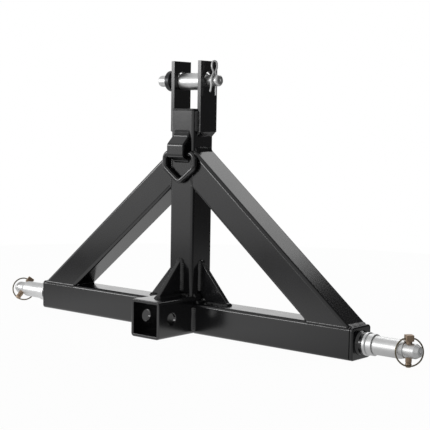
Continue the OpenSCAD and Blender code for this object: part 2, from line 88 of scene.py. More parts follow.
def linear_rgba(hex_colour: str) -> tuple[float, float, float, float]:
    """Turns an sRGB hex colour into the linear colour that shaders use.

    Args:
        hex_colour: Six hex digits after a hash sign.

    Returns:
        Red, green, blue and an alpha of one.
    """
    coded = np.array([int(hex_colour[i : i + 2], 16) for i in (1, 3, 5)]) / 255.0
    low = coded / 12.92
    high = ((coded + 0.055) / 1.055) ** 2.4
    red, green, blue = np.where(coded <= 0.04045, low, high).tolist()
    return red, green, blue, 1.0


def add_node(
    tree: bpy.types.NodeTree,
    kind: str,
    inputs: Mapping[str | int, object] | None = None,
    **settings: object,
) -> bpy.types.Node:
    """Adds one shader node.

    Args:
        tree: The node tree that the node joins.
        kind: The node's type name.
        inputs: A value, or another node's output, for each input to set.
        **settings: The node's own properties.

    Returns:
        The new node.
    """
    made = tree.nodes.new(kind)
    for key, value in settings.items():
        setattr(made, key, value)
    for key, value in (inputs or {}).items():
        if isinstance(value, bpy.types.NodeSocket):
            tree.links.new(value, made.inputs[key])
        else:
            made.inputs[key].default_value = value
    return made


@dataclass(frozen=True)
class Finish:
    """A surface finish: one Principled shader with a two-tone patch pattern and a bump.

    The colour and the roughness drift between two values over patches of patch_mm, and
    the bump is a noise of grain_mm, both on object coordinates.
    """

    name: str
    slot: str
    tone: str
    tone_far: str
    roughness: tuple[float, float]
    patch_mm: float
    grain_mm: float
    grain_height_mm: float
    metallic: float = 0.0
    specular: float = 0.5
    stretch: tuple[float, float, float] = (1.0, 1.0, 1.0)

    def material(self) -> bpy.types.Material:
        """Builds the finish's material once and hands back the same one after that.

        Returns:
            The material.
        """
        known = bpy.data.materials.get(self.name)
        if known:
            return known
        made = bpy.data.materials.new(self.name)
        made.use_nodes = True
        tree = made.node_tree
        tree.nodes.clear()
        place = add_node(tree, "ShaderNodeTexCoord").outputs["Object"]
        patches = add_node(
            tree,
            "ShaderNodeTexNoise",
            {"Vector": place, "Scale": 1 / (self.patch_mm * MM), "Detail": 3.0},
        ).outputs["Fac"]
        colour = add_node(
            tree,
            "ShaderNodeMix",
            {0: patches, 6: linear_rgba(self.tone), 7: linear_rgba(self.tone_far)},
            data_type="RGBA",
        ).outputs[2]
        rough = add_node(
            tree,
            "ShaderNodeMapRange",
            {
                "Value": patches,
                "From Min": 0.3,
                "From Max": 0.7,
                "To Min": self.roughness[0],
                "To Max": self.roughness[1],
            },
        ).outputs["Result"]
        drawn = add_node(
            tree, "ShaderNodeMapping", {"Vector": place, "Scale": self.stretch}
        ).outputs["Vector"]
        grain = add_node(
            tree,
            "ShaderNodeTexNoise",
            {"Vector": drawn, "Scale": 1 / (self.grain_mm * MM), "Detail": 2.0},
        ).outputs["Fac"]
        bump = add_node(
            tree,
            "ShaderNodeBump",
            {
                "Height": grain,
                "Distance": self.grain_height_mm * MM,
                "Strength": 1.0,
            },
        ).outputs["Normal"]
        shader = add_node(
            tree,
            "ShaderNodeBsdfPrincipled",
            {
                "Base Color": colour,
                "Roughness": rough,
                "Normal": bump,
                "Metallic": self.metallic,
                "Specular IOR Level": self.specular,
            },
        )
        add_node(
            tree, "ShaderNodeOutputMaterial", {"Surface": shader.outputs["BSDF"]}
        )
        return made


# Satin black powder coat: the eye sees soft broad reflections and a faint orange peel.
# The peel is 1 to 2 mm across on the real coat and is drawn at 5 mm to show at all.
POWDER_COAT = Finish(
    name="satin_black_powder_coat",
    slot="black_paint",
    tone="#0c0c0e",
    tone_far="#111114",
    roughness=(0.16, 0.2),
    patch_mm=70.0,
    grain_mm=5.0,
    grain_height_mm=0.004,
    specular=0.65,
)
# The same coat over a weld bead: it pools in the ripples and shines a little more.
COATED_WELD = Finish(
    name="powder_coated_weld_bead",
    slot="painted_weld",
    tone="#0a0a0c",
    tone_far="#101012",
    roughness=(0.16, 0.2),
    patch_mm=12.0,
    grain_mm=3.0,
    grain_height_mm=0.015,
)
# Clear zinc on turned steel: bright and a little milky, with lathe marks round the pin.
# The marks are about 0.2 mm apart on the real pin and are drawn at 1.2 mm.
ZINC_PLATE = Finish(
    name="clear_zinc_on_turned_steel",
    slot="zinc_plate",
    tone="#cfd0d0",
    tone_far="#dfdfdf",
    roughness=(0.38, 0.46),
    patch_mm=14.0,
    grain_mm=1.2,
    grain_height_mm=0.0005,
    metallic=1.0,
    stretch=(1.0, 0.08, 0.08),
)
# The collar: the zinc finish made darker, as painted shade for a collar that mirrors its dark
# surroundings.
ZINC_WITH_PAINTED_SHADE = Finish(
    name="zinc_with_painted_shade",
    slot="zinc_plate",
    tone="#3a3b3c",
    tone_far="#4c4d4e",
    roughness=(0.3, 0.42),
    patch_mm=10.0,
    grain_mm=1.2,
    grain_height_mm=0.002,
    metallic=1.0,
    stretch=(1.0, 0.08, 0.08),
)
# Aged yellow zinc on forged steel: a brown bronze sheen, darker where it has dulled.
YELLOW_ZINC = Finish(
    name="aged_yellow_zinc_on_forging",
    slot="yellow_zinc",
    tone="#8a7866",
    tone_far="#b29c86",
    roughness=(0.34, 0.5),
    patch_mm=5.0,
    grain_mm=1.6,
    grain_height_mm=0.02,
    metallic=0.85,
)
# Dull yellow zinc on hard spring wire: a dark olive line with a narrow glint.
SPRING_WIRE = Finish(
    name="dull_zinc_on_spring_wire",
    slot="spring_wire",
    tone="#5f594a",
    tone_far="#857c68",
    roughness=(0.3, 0.42),
    patch_mm=9.0,
    grain_mm=1.0,
    grain_height_mm=0.002,
    metallic=0.9,
)
# Bright zinc on drawn wire: light grey all along, since the wire mirrors the pale room.
CLIP_WIRE = Finish(
    name="bright_zinc_on_drawn_wire",
    slot="clip_wire",
    tone="#cfd0d0",
    tone_far="#e4e4e4",
    roughness=(0.42, 0.5),
    patch_mm=9.0,
    grain_mm=1.0,
    grain_height_mm=0.001,
    metallic=0.55,
)


# Surfaces


@dataclass
class Shell:
    """Points in millimetres, and the faces between them, gathered for one piece."""

    points: list[Array] = field(default_factory=list)
    faces: list[list[int]] = field(default_factory=list)
    count: int = 0

    def grid(
        self, surface: Array, wrap_u: bool = False, wrap_v: bool = False
    ) -> None:
        """Adds a surface of two parameters as a net of four-sided faces.

        Args:
            surface: Points, shaped (u steps, v steps, 3).
            wrap_u: Joins the last row to the first.
            wrap_v: Joins the last column to the first.
        """
        rows, columns = surface.shape[:2]
        u = np.arange(rows if wrap_u else rows - 1)[:, None]
        v = np.arange(columns if wrap_v else columns - 1)[None, :]
        u_next, v_next = (u + 1) % rows, (v + 1) % columns
        corners = [
            u * columns + v,
            u_next * columns + v,
            u_next * columns + v_next,
            u * columns + v_next,
        ]
        quads = np.stack(np.broadcast_arrays(*corners), -1).reshape(-1, 4)
        self.faces += (quads + self.count).tolist()
        self.points.append(surface.reshape(-1, 3))
        self.count += rows * columns

    def mirror(self, side: Side) -> None:
        """Carries everything in the shell over to the left if that is its side."""
        flip = np.array([side.value, 1.0, 1.0])
        self.points = [points * flip for points in self.points]

    def join(self, other: "Shell") -> None:
        """Takes over another shell's surfaces."""
        self.faces += [[corner + self.count for corner in face] for face in other.faces]
        self.points += other.points
        self.count += other.count

    def fan(self, loop: Array) -> None:
        """Closes a loop of points with a fan of triangles round its middle."""
        middle = np.broadcast_to(loop.mean(0), loop.shape)
        self.grid(np.stack([loop, middle]), wrap_v=True)

    def tube(self, rings: Array) -> None:
        """Adds a closed body through a stack of rings, with a fan at each end."""
        self.grid(rings, wrap_v=True)
        self.fan(rings[0])
        self.fan(rings[-1])


@dataclass(frozen=True)
class Hole:
    """A round hole to drill through a piece, flared a little where it comes out."""

    centre: tuple[float, float, float]
    axis: tuple[float, float, float]
    radius: float
    reach: float
    flare: float = 0.5

    def cutter(self) -> bpy.types.Object:
        """Makes the body that is cut away.

        Returns:
            An object that the caller removes again.
        """
        past = self.reach * 0.4 + 2
        far = self.reach + past
        near = self.reach - self.flare
        wide = self.radius + past + self.flare
        profile = [(0, -far), (wide, -far), (self.radius, -near)]
        profile += [(self.radius, near), (wide, far), (0, far)]
        shell = Shell()
        turned_about(shell, profile, np.array(self.centre), np.array(self.axis, float), 64)
        return mesh_object("cutter", shell)


def mesh_object(name: str, shell: Shell) -> bpy.types.Object:
    """Makes a closed mesh object of a shell, with its faces outwards.

    Args:
        name: The object's name.
        shell: Its surfaces in millimetres.

    Returns:
        The object, linked to the scene.
    """
    mesh = bpy.data.meshes.new(name)
    mesh.from_pydata(np.concatenate(shell.points) * MM, [], shell.faces)
    work = bmesh.new()
    work.from_mesh(mesh)
    bmesh.ops.remove_doubles(work, verts=work.verts, dist=2e-6)
    bmesh.ops.dissolve_degenerate(work, edges=work.edges, dist=1e-7)
    bmesh.ops.recalc_face_normals(work, faces=work.faces)
    work.to_mesh(mesh)
    work.free()
    made = bpy.data.objects.new(name, mesh)
    bpy.context.scene.collection.objects.link(made)
    return made


def drill(piece: bpy.types.Object, hole: Hole) -> None:
    """Cuts a hole through a piece and keeps the result as its mesh."""
    cutter = hole.cutter()
    cut = piece.modifiers.new("drill", "BOOLEAN")
    cut.operation = "DIFFERENCE"
    cut.solver = "EXACT"
    cut.object = cutter
    whole = piece.data
    graph = bpy.context.evaluated_depsgraph_get()
    piece.data = bpy.data.meshes.new_from_object(piece.evaluated_get(graph))
    piece.modifiers.clear()
    for spare in (whole, cutter.data):
        bpy.data.meshes.remove(spare)


def build_piece(
    name: str,
    shell: Shell,
    finish: Finish,
    body: str,
    replaces: Sequence[str],
    crease: float = 32.0,
    holes: Sequence[Hole] = (),
) -> bpy.types.Object:
    """Makes an object of a shell, gives it its finish and ties it to its body.

    Args:
        name: The object's name.
        shell: Its surfaces in millimetres.
        finish: Its finish.
        body: The body that it rides on.
        replaces: The solids that it stands for.
        crease: Edges that turn more than this many degrees stay sharp.
        holes: Holes to drill through it.

    Returns:
        The object.
    """
    piece = mesh_object(name, shell)
    for hole in holes:
        drill(piece, hole)
    mesh = piece.data
    mesh.name = name
    mesh.shade_smooth()
    mesh.set_sharp_from_angle(angle=math.radians(crease))
    mesh.materials.clear()
    mesh.materials.append(finish.material())
    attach(piece, body)
    if replaces:
        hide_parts(*replaces)
    LOG.info("%s: %d faces on %s", name, len(mesh.polygons), body)
    return piece


def unit(vector: Sequence[float] | Array) -> Array:
    """Scales a vector to a length of one."""
    arrow = np.asarray(vector, float)
    return arrow / np.linalg.norm(arrow)


def rotation(axis: Sequence[float], degrees: float) -> Array:
    """The 3 by 3 matrix that turns points about an axis through the origin."""
    return np.array(Matrix.Rotation(math.radians(degrees), 3, unit(axis).tolist()))


def round_rectangle(width: float, height: float, radius: float, steps: int = 8) -> Array:
    """A rectangle's outline with round corners.

    Each corner is a quarter circle about a point that lies radius inside both sides. A
    point on each straight run, close to the arc, keeps the flat side's shading flat.

    Args:
        width: Size along the outline's x.
        height: Size along its y.
        radius: Corner radius.
        steps: Faces in each corner.

    Returns:
        Points, shaped (n, 2), anticlockwise.
    """
    keep = min(FLAT_KEEP, (min(width, height) / 2 - radius) / 4)
    turn = np.linspace(0, np.pi / 2, steps + 1)
    arc = radius * np.stack([np.cos(turn), np.sin(turn)], 1)
    corner = np.concatenate([[[radius, -keep]], arc, [[-keep, radius]]])
    middle = np.array([width / 2 - radius, height / 2 - radius])
    quarter = np.array([[0.0, 1.0], [-1.0, 0.0]])
    loops = []
    for signs in ((1, 1), (-1, 1), (-1, -1), (1, -1)):
        loops.append(corner + middle * signs)
        corner = corner @ quarter
    return np.concatenate(loops)


def round_square(width: float, radius: float, steps: int = 8) -> Array:
    """A square outline with round corners, as round_rectangle makes it."""
    return round_rectangle(width, width, radius, steps)


def inset_outline(corners: Array, inset: float) -> Array:
    """Moves every side of a convex anticlockwise outline inwards by the same amount.

    Each new corner is where the two moved sides next to it cross: with their inward
    normals m and n it moves by inset (m + n) / (1 + m . n).

    Args:
        corners: Points, shaped (n, 2).
        inset: How far each side moves.

    Returns:
        The new corners.
    """
    along = np.roll(corners, -1, 0) - corners
    along /= np.linalg.norm(along, axis=1)[:, None]
    inward = np.stack([-along[:, 1], along[:, 0]], 1)
    before = np.roll(inward, 1, 0)
    share = 1 + (before * inward).sum(1)
    return corners + inset * (before + inward) / share[:, None]


@dataclass(frozen=True)
class Rim:
    """A rounded edge between a plate's face and its side."""

    radius: float
    steps: int = 4

    def insets(self) -> tuple[Array, Array]:
        """How far each ring of the rim lies in from the side and down from the face.

        Returns:
            The insets and the depths, from the face to the side.
        """
        turn = np.linspace(0, np.pi / 2, self.steps + 1)
        inset, depth = self.radius * (1 - np.sin(turn)), self.radius * (1 - np.cos(turn))
        past = self.radius + FLAT_KEEP
        return np.concatenate([[past], inset, [0.0]]), np.concatenate([[0.0], depth, [past]])


@dataclass(frozen=True)
class Place:
    """A local frame: where a flat outline's own x, y and normal point."""

    origin: tuple[float, float, float]
    x_way: tuple[float, float, float]
    y_way: tuple[float, float, float]

    def normal(self) -> Array:
        """The direction in which heights over the frame's plane grow."""
        return np.cross(self.x_way, self.y_way).astype(float)

    def lift(self, flat: Array, height: float | Array) -> Array:
        """Carries flat points into space at a height along the frame's normal.

        Args:
            flat: Points, shaped (..., 2).
            height: Height of the points over the frame's plane.

        Returns:
            Points, shaped (..., 3).
        """
        x_way, y_way = np.array(self.x_way, float), np.array(self.y_way, float)
        flat_part = flat[..., :1] * x_way + flat[..., 1:] * y_way
        rise = np.asarray(height, float)[..., None] * self.normal()
        return np.array(self.origin, float) + flat_part + rise


def plate(shell: Shell, corners: Array, thick: float, rim: Rim, place: Place) -> None:
    """Adds a plate of a convex outline, centred on its plane, with rounded rims.

    The rings run from one face over the rim and the side to the other face.

    Args:
        shell: The shell that it joins.
        corners: The outline, anticlockwise.
        thick: Thickness.
        rim: The rounding of its edges.
        place: Where its middle plane lies.
    """
    insets, depths = rim.insets()
    half = thick / 2
    over = [place.lift(inset_outline(corners, i), half - d) for i, d in zip(insets, depths)]
    under = [place.lift(inset_outline(corners, i), d - half) for i, d in zip(insets, depths)]
    shell.tube(np.stack(over + under[::-1]))


def mitred_tube(
    shell: Shell,
    loop: Array,
    place: Place,
    cuts: tuple[tuple[Array, Array], tuple[Array, Array]],
    spans: int = 1,
) -> None:
    """Adds a solid-ended tube whose ends are cut by planes.

    A point of the outline slides along the frame's normal until it meets each plane:
    t = (cut point - outline point) . cut normal / (normal . cut normal).

    Args:
        shell: The shell that it joins.
        loop: The tube's outline.
        place: The frame whose normal is the tube's axis.
        cuts: For each end, a point on its plane and the plane's normal.
        spans: Lengths into which the tube is divided.
    """
    base = place.lift(loop, 0.0)
    axis = place.normal()
    ends = [
        base + (((point - base) @ normal) / (axis @ normal))[:, None] * axis
        for point, normal in cuts
    ]
    share = np.linspace(0, 1, spans + 1)[:, None, None]
    shell.tube(ends[0] * (1 - share) + ends[1] * share)


def turned(
    shell: Shell,
    profile: Sequence[tuple[float, float]],
    centre: Sequence[float],
    axis: Axis,
    way: int = 1,
    segments: int = 72,
) -> None:
    """Adds a lathe-turned body: every profile point runs round the axis.

    A point (r, t) becomes centre + t along the axis + r (cos a, sin a) across it.

    Args:
        shell: The shell that it joins.
        profile: Radius and place along the axis, point by point.
        centre: A point on the axis.
        axis: The row axis that it lies along.
        way: The sign of the axis.
        segments: Faces round the body.
    """
    turned_about(shell, profile, np.array(centre, float), way * np.eye(3)[axis.value], segments)


def turned_about(
    shell: Shell,
    profile: Sequence[tuple[float, float]],
    centre: Array,
    axis: Array,
    segments: int = 72,
) -> None:
    """Adds a lathe-turned body about any axis, as turned does."""
    spoke = unit(np.cross(axis, [0.31, 0.52, 0.79]))
    across = np.cross(axis, spoke)
    angle = np.linspace(0, 2 * np.pi, segments, endpoint=False)[None, :, None]
    reach, along = np.array(profile, float).T
    ring = np.cos(angle) * spoke + np.sin(angle) * across
    surface = centre + along[:, None, None] * axis + reach[:, None, None] * ring
    shell.grid(surface, wrap_v=True)


def softened(
    profile: Sequence[tuple[float, float]], radius: float, steps: int = 3
) -> list[tuple[float, float]]:
    """Rounds the corners of a profile with small quadratic curves.

    Each corner gives way to (1 - s)^2 P + 2 s (1 - s) C + s^2 Q, with P and Q on its two
    sides, radius away from it or a third of the side if that is less.

    Args:
        profile: Points of radius and place.
        radius: Reach of each curve.
        steps: Faces in each curve.

    Returns:
        The rounded profile, with both ends kept.
    """
    points = np.array(profile, float)
    out = [points[:1]]
    share = np.linspace(0, 1, steps + 1)[:, None]
    for before, corner, after in zip(points[:-2], points[1:-1], points[2:]):
        back, ahead = before - corner, after - corner
        near = min(radius, np.linalg.norm(back) / 3)
        far = min(radius, np.linalg.norm(ahead) / 3)
        start, end = corner + unit(back) * near, corner + unit(ahead) * far
        curve = (1 - share) ** 2 * start + 2 * share * (1 - share) * corner + share**2 * end
        keep = min(FLAT_KEEP, near / 2, far / 2)
        out += [[start + unit(back) * keep], curve, [end + unit(ahead) * keep]]
    out.append(points[-1:])
    return [tuple(p) for p in np.concatenate(out).tolist()]


def bent_path(points: Array, radii: Sequence[float], step: float = 1.2) -> Array:
    """A path through points in a plane, with an arc of its own radius at each bend.

    The arc leaves and joins its two runs radius * tan(turn / 2) from the corner.

    Args:
        points: Corner points, shaped (n, 2).
        radii: A radius for each inner point.
        step: Length of one piece of an arc.

    Returns:
        Points, shaped (m, 2).
    """
    out = [points[:1]]
    for before, corner, after, radius in zip(points[:-2], points[1:-1], points[2:], radii):
        arrive, leave = unit(corner - before), unit(after - corner)
        turn = math.atan2(arrive[0] * leave[1] - arrive[1] * leave[0], arrive @ leave)
        side = math.copysign(1.0, turn)
        normal = side * np.array([-arrive[1], arrive[0]])
        middle = corner - arrive * radius * math.tan(abs(turn) / 2) + normal * radius
        count = max(3, int(abs(turn) * radius / step) + 1)
        first = math.atan2(-normal[1], -normal[0])
        angle = first + np.linspace(0, turn, count + 1)
        out.append(middle + radius * np.stack([np.cos(angle), np.sin(angle)], 1))
    out.append(points[-1:])
    return np.concatenate(out)


def evened(path: Array, step: float, count: int = 0) -> Array:
    """Spaces a path's points evenly.

    Args:
        path: Points, shaped (n, any).
        step: About how far apart the points come.
        count: Number of points, in place of a step.

    Returns:
        The new points, with both ends kept.
    """
    along = np.concatenate([[0.0], np.cumsum(np.linalg.norm(np.diff(path, axis=0), axis=1))])
    number = count or max(2, int(along[-1] / step) + 1)
    places = np.linspace(0, along[-1], number)
    return np.stack([np.interp(places, along, part) for part in path.T], 1)


def rounded_loop(loop: Array, step: float = 1.0) -> Array:
    """Evens a closed loop's points and softens its corners a little.

    Each point moves to the mean of itself and its neighbours, weighted 1, 2, 1, twice.
    """
    closed = np.concatenate([loop, loop[:1]])
    points = evened(closed, step)[:-1]
    for _ in range(2):
        points = (np.roll(points, 1, 0) + 2 * points + np.roll(points, -1, 0)) / 4
    return points


def swept_bar(
    shell: Shell, path: Array, normal: Array, radius: float, closed: bool, sides: int = 20
) -> None:
    """Adds a round bar along a path that lies in one plane.

    At each path point the ring is radius (cos a N + sin a B), with B the plane's normal
    and N across the path in the plane.

    Args:
        shell: The shell that it joins.
        path: Points, shaped (n, 3).
        normal: The plane's normal.
        radius: The bar's radius.
        closed: Joins the bar's ends. An open bar gets rounded ends.
        sides: Faces round the bar.
    """
    if closed:
        run = np.roll(path, -1, 0) - np.roll(path, 1, 0)
    else:
        run = np.gradient(path, axis=0)
    run /= np.linalg.norm(run, axis=1)[:, None]
    across = np.cross(normal, run)
    angle = np.linspace(0, 2 * np.pi, sides, endpoint=False)[None, :, None]
    ring = np.cos(angle) * across[:, None] + np.sin(angle) * normal
    if closed:
        shell.grid(path[:, None] + radius * ring, wrap_u=True, wrap_v=True)
        return
    turn = np.linspace(np.pi / 2, 0, 6)[:-1]
    nose = 0.6 * radius
    rings = [path[:1, None] + (nose * (1 - math.sin(t))) * run[:1, None]
             + radius * math.cos(t) * ring[:1] for t in turn]
    tail = [path[-1:, None] - (nose * (1 - math.sin(t))) * run[-1:, None]
            + radius * math.cos(t) * ring[-1:] for t in turn[::-1]]
    inner = (path[1:-1, None] + radius * ring[1:-1])
    shell.grid(np.concatenate(rings + [inner] + tail), wrap_v=True)


@dataclass(frozen=True)
class Bead:
    """How a run of weld looks: crescent ripples, wandering edges and tapered ends."""

    ripple_mm: float = 3.2
    ripple_depth: float = 0.07
    crown: float = 0.74
    wander: float = 0.06
    end_mm: float = 3.0
    step_mm: float = 0.55
    # Points across a bead's face.
    face_points: int = 9
    # Square of the smallest share of its size that a bead keeps at its very end.
    end_share_squared: float = 0.0009

    def run(self, shell: Shell, root: Array, legs: tuple[Array, Array, Array], seed: int) -> None:
        """Adds one bead along a root line.

        At each place along the root the bead's face is a quadratic curve from the tip of
        leg a to the tip of leg b. Its control point is crown times the third vector from
        the root, and swings with ripples that trail in the bead's middle. The legs
        wander a little, and shrink in a quarter ellipse at both ends.

        Args:
            shell: The shell that it joins.
            root: Points of the root line, shaped (n, 3), evenly spaced.
            legs: Vectors from the root to both edges and to the swell, each (n, 3).
            seed: Settles the bead's wander.
        """
        leg_a, leg_b, swell = legs
        pieces = np.linalg.norm(np.diff(root, axis=0), axis=1)
        along = np.concatenate([[0.0], np.cumsum(pieces)])[:, None]
        length = float(along[-1, 0])
        phase = np.random.default_rng(seed).uniform(0, 2 * np.pi, 4)
        slow = sum(np.sin(along / wave + p) for wave, p in zip((2.3, 4.1, 7.3, 13.0), phase))
        cap = min(self.end_mm, length / 3)
        near_end = np.clip(np.minimum(along, length - along) / cap, 0, 1)
        round_end = np.sqrt(np.clip(1 - (1 - near_end) ** 2, self.end_share_squared, 1))
        size = round_end * (1 + self.wander * slow / 2)
        across = np.linspace(0, 1, self.face_points)[None, :]
        trail = 4 * across * (1 - across) * self.ripple_mm * 0.5
        beat = np.cos(2 * np.pi * (along - trail) / self.ripple_mm)
        rise = (self.crown + self.ripple_depth * beat)[..., None]
        share = across[..., None]
        offset = (
            (1 - share) ** 2 * leg_a[:, None]
            + 2 * share * (1 - share) * rise * swell[:, None]
            + share**2 * leg_b[:, None]
        )
        face = root[:, None] + size[..., None] * offset
        shell.tube(np.concatenate([face, root[:, None]], axis=1))

    def fillet(
        self,
        shell: Shell,
        place: Place,
        path: Sequence[tuple[float, float]],
        legs: tuple[float, float],
        seed: int,
        bend: float = 2.0,
    ) -> None:
        """Lays a bead in the corner between a plane and a wall that stands on it.

        The path is the wall's foot, and the bead lies to the right of its direction.

        Args:
            shell: The shell that it joins.
            place: The plane, with its normal towards the wall's top.
            path: Corner points of the root line in the plane.
            legs: Reach over the plane and up the wall.
            seed: Settles the bead's wander.
            bend: Radius of the path's bends.
        """
        flat = evened(bent_path(np.array(path, float), [bend] * (len(path) - 2)), self.step_mm)
        run = np.gradient(flat, axis=0)
        run /= np.linalg.norm(run, axis=1)[:, None]
        outward = np.stack([run[:, 1], -run[:, 0]], 1)
        normal = place.normal()
        over = legs[0] * (place.lift(outward, 0.0) - np.array(place.origin))
        up = legs[1] * np.broadcast_to(normal, over.shape)
        self.run(shell, place.lift(flat, 0.0), (over, up, over + up), seed)

    def cap(
        self,
        shell: Shell,
        place: Place,
        path: Sequence[tuple[float, float]],
        size: tuple[float, float],
        seed: int,
        sunk: float = 0.0,
    ) -> None:
        """Lays a low bead over a seam between two flush faces.

        Args:
            shell: The shell that it joins.
            place: The faces' plane, with its normal outwards.
            path: The seam's middle line in the plane.
            size: The bead's width and height.
            seed: Settles the bead's wander.
            sunk: Depth of the bead's edges under the plane.
        """
        flat = evened(np.array(path, float), self.step_mm)
        run = np.gradient(flat, axis=0)
        run /= np.linalg.norm(run, axis=1)[:, None]
        side = np.stack([run[:, 1], -run[:, 0]], 1)
        normal = place.normal()
        reach = size[0] / 2 * (place.lift(side, 0.0) - np.array(place.origin))
        depth = 2.0
        rise = np.broadcast_to(depth * normal, reach.shape)
        swell = rise + 2 * size[1] * normal / self.crown
        root = place.lift(flat, -depth - sunk)
        self.run(shell, root, (rise + reach, rise - reach, swell), seed)


# Sub-assemblies


@dataclass(frozen=True)
class Stock:
    """Sizes that the frame's pieces share, in millimetres."""

    tube: float = 50.8
    tube_corner: float = 5.5
    receiver: float = 62.0
    receiver_bore: float = 52.0
    half_span: float = 346.0
    end_plate: float = 6.4
    mast_top: float = 374.2
    cap: float = 3.2
    brace_foot: float = 338.0
    brace_head: float = 306.0

    @property
    def half(self) -> float:
        """Half the frame tube's width."""
        return self.tube / 2

    @property
    def flat(self) -> float:
        """From the middle of a tube's side to its round corner."""
        return self.half - self.tube_corner

    @property
    def slope(self) -> float:
        """The braces' angle from level, in radians."""
        return math.atan2(self.brace_head - self.tube, self.brace_foot - self.half)

    @property
    def brace_low(self) -> float:
        """Height at which a brace's underside meets the mast."""
        return self.brace_head - self.tube / math.cos(self.slope)

    @property
    def brace_inner(self) -> float:
        """Distance from the middle to a brace's inner toe."""
        return self.brace_foot - self.tube / math.sin(self.slope)

    def front(self) -> Place:
        """The plane of the frame's front faces: x to the right, y up."""
        return Place((0, -self.half, 0), (1, 0, 0), (0, 0, 1))

    def back(self) -> Place:
        """The plane of the frame's back faces: x to the left, y up."""
        return Place((0, self.half, 0), (-1, 0, 0), (0, 0, 1))

    def mast_side(self) -> Place:
        """The plane of the mast's right side: x to the back, y up."""
        return Place((self.half, 0, 0), (0, 1, 0), (0, 0, 1))

    def level(self, height: float) -> Place:
        """A level plane: x to the right, y to the back."""
        return Place((0, 0, height), (1, 0, 0), (0, 1, 0))


STOCK = Stock()


@dataclass(frozen=True)
class Tubes:
    """The receiver, the crossbar, the mast and the braces."""

    mouth_y: float = -109.6
    mouth_rim: float = 1.1
    bore_corner: float = 1.4
    hitch_hole: float = 10.0
    hitch_hole_y: float = -78.9
    plate_rim: float = 2.6

    def build(self) -> None:
        """Builds every tube with its closing plate."""
        self.receiver()
        self.mast()
        for side in Side:
            self.crossbar(side)
            self.end_plate(side)
            self.brace(side)

    def receiver(self) -> None:
        """The receiver: an open tube with a rounded rim and a hole through both walls.

        A profile of (distance along the tube, share of the way from the outside to the
        bore) runs round both ends, and each of its points carries one ring.
        """
        outer = round_square(STOCK.receiver, STOCK.tube_corner)
        inner = round_square(STOCK.receiver_bore, self.bore_corner)
        wall = (STOCK.receiver - STOCK.receiver_bore) / 2
        inset, depth = Rim(self.mouth_rim).insets()
        edge_depth = np.concatenate([depth[::-1], depth])
        edge_share = np.concatenate([inset[::-1], wall - inset]) / wall
        length = STOCK.half - self.mouth_y
        along = np.concatenate([edge_depth, length - edge_depth])
        share = np.concatenate([edge_share, edge_share[::-1]])[:, None, None]
        middle = (0.0, self.mouth_y, STOCK.receiver / 2)
        place = Place(middle, (1, 0, 0), (0, 0, -1))
        rings = place.lift(
            outer * (1 - share) + inner * share,
            np.broadcast_to(along[:, None], (len(along), len(outer))),
        )
        shell = Shell()
        shell.grid(rings, wrap_u=True, wrap_v=True)
        centre = (0.0, self.hitch_hole_y, STOCK.receiver / 2)
        hole = Hole(centre, (1, 0, 0), self.hitch_hole, STOCK.receiver / 2, 0.8)
        build_piece("receiver_shell", shell, POWDER_COAT, "frame", ["receiver_tube"], holes=[hole])

    def mast(self) -> None:
        """The mast, and the cap plate with its rounded rim."""
        loop = round_square(STOCK.tube, STOCK.tube_corner)
        seam = STOCK.mast_top - STOCK.cap
        up = np.array([0.0, 0.0, 1.0])
        shell = Shell()
        mitred_tube(
            shell,
            loop,
            STOCK.level(0.0),
            ((up * STOCK.receiver, up), (up * seam, up)),
        )
        build_piece("mast_tube", shell, POWDER_COAT, "frame", ["mast_post"])
        inset = 0.8
        lid = Shell()
        outline = round_square(STOCK.tube - 2 * inset, STOCK.tube_corner - inset)
        plate(lid, outline, STOCK.cap, Rim(1.4), STOCK.level(seam + STOCK.cap / 2))
        build_piece("mast_lid", lid, POWDER_COAT, "frame", ["mast_cap"])

    def crossbar(self, side: Side) -> None:
        """One length of the crossbar, from the receiver to the end plate."""
        loop = round_square(STOCK.tube, STOCK.tube_corner)
        way = np.array([1.0, 0.0, 0.0])
        shell = Shell()
        mitred_tube(
            shell,
            loop,
            Place((0, 0, STOCK.half), (0, 1, 0), (0, 0, 1)),
            (
                (way * STOCK.receiver / 2, way),
                (way * (STOCK.half_span - STOCK.end_plate), way),
            ),
        )
        shell.mirror(side)
        name = f"crossbar_{side.word}"
        build_piece(f"{name}_tube", shell, POWDER_COAT, "frame", [name])

    def end_plate(self, side: Side) -> None:
        """The plate that closes the crossbar, with its welded rim ground round."""
        shell = Shell()
        middle = STOCK.half_span - STOCK.end_plate / 2
        plate(
            shell,
            round_square(STOCK.tube, STOCK.tube_corner),
            STOCK.end_plate,
            Rim(self.plate_rim, 6),
            Place((middle, 0, STOCK.half), (0, 1, 0), (0, 0, 1)),
        )
        shell.mirror(side)
        name = f"end_plate_{side.word}"
        build_piece(f"{name}_cover", shell, POWDER_COAT, "frame", [name])

    def brace(self, side: Side) -> None:
        """A brace, cut level at the crossbar and upright at the mast."""
        slope = STOCK.slope
        rise = (-math.cos(slope), 0.0, math.sin(slope))
        under = (-math.sin(slope), 0.0, -math.cos(slope))
        half = STOCK.half
        top = np.array([STOCK.brace_foot, 0.0, STOCK.tube])
        middle = top + half * np.array(under)
        shell = Shell()
        # The outline's x runs to the front and its y to the underside, so that the
        # frame's normal points up along the brace.
        mitred_tube(
            shell,
            round_square(STOCK.tube, STOCK.tube_corner),
            Place(tuple(middle), (0, 1, 0), tuple(np.cross(rise, [0, 1, 0]))),
            (
                (np.array([0.0, 0.0, STOCK.tube]), np.array([0.0, 0.0, 1.0])),
                (np.array([half, 0.0, 0.0]), np.array([1.0, 0.0, 0.0])),
            ),
        )
        shell.mirror(side)
        name = f"brace_{side.word}"
        build_piece(f"{name}_tube", shell, POWDER_COAT, "frame", [name])


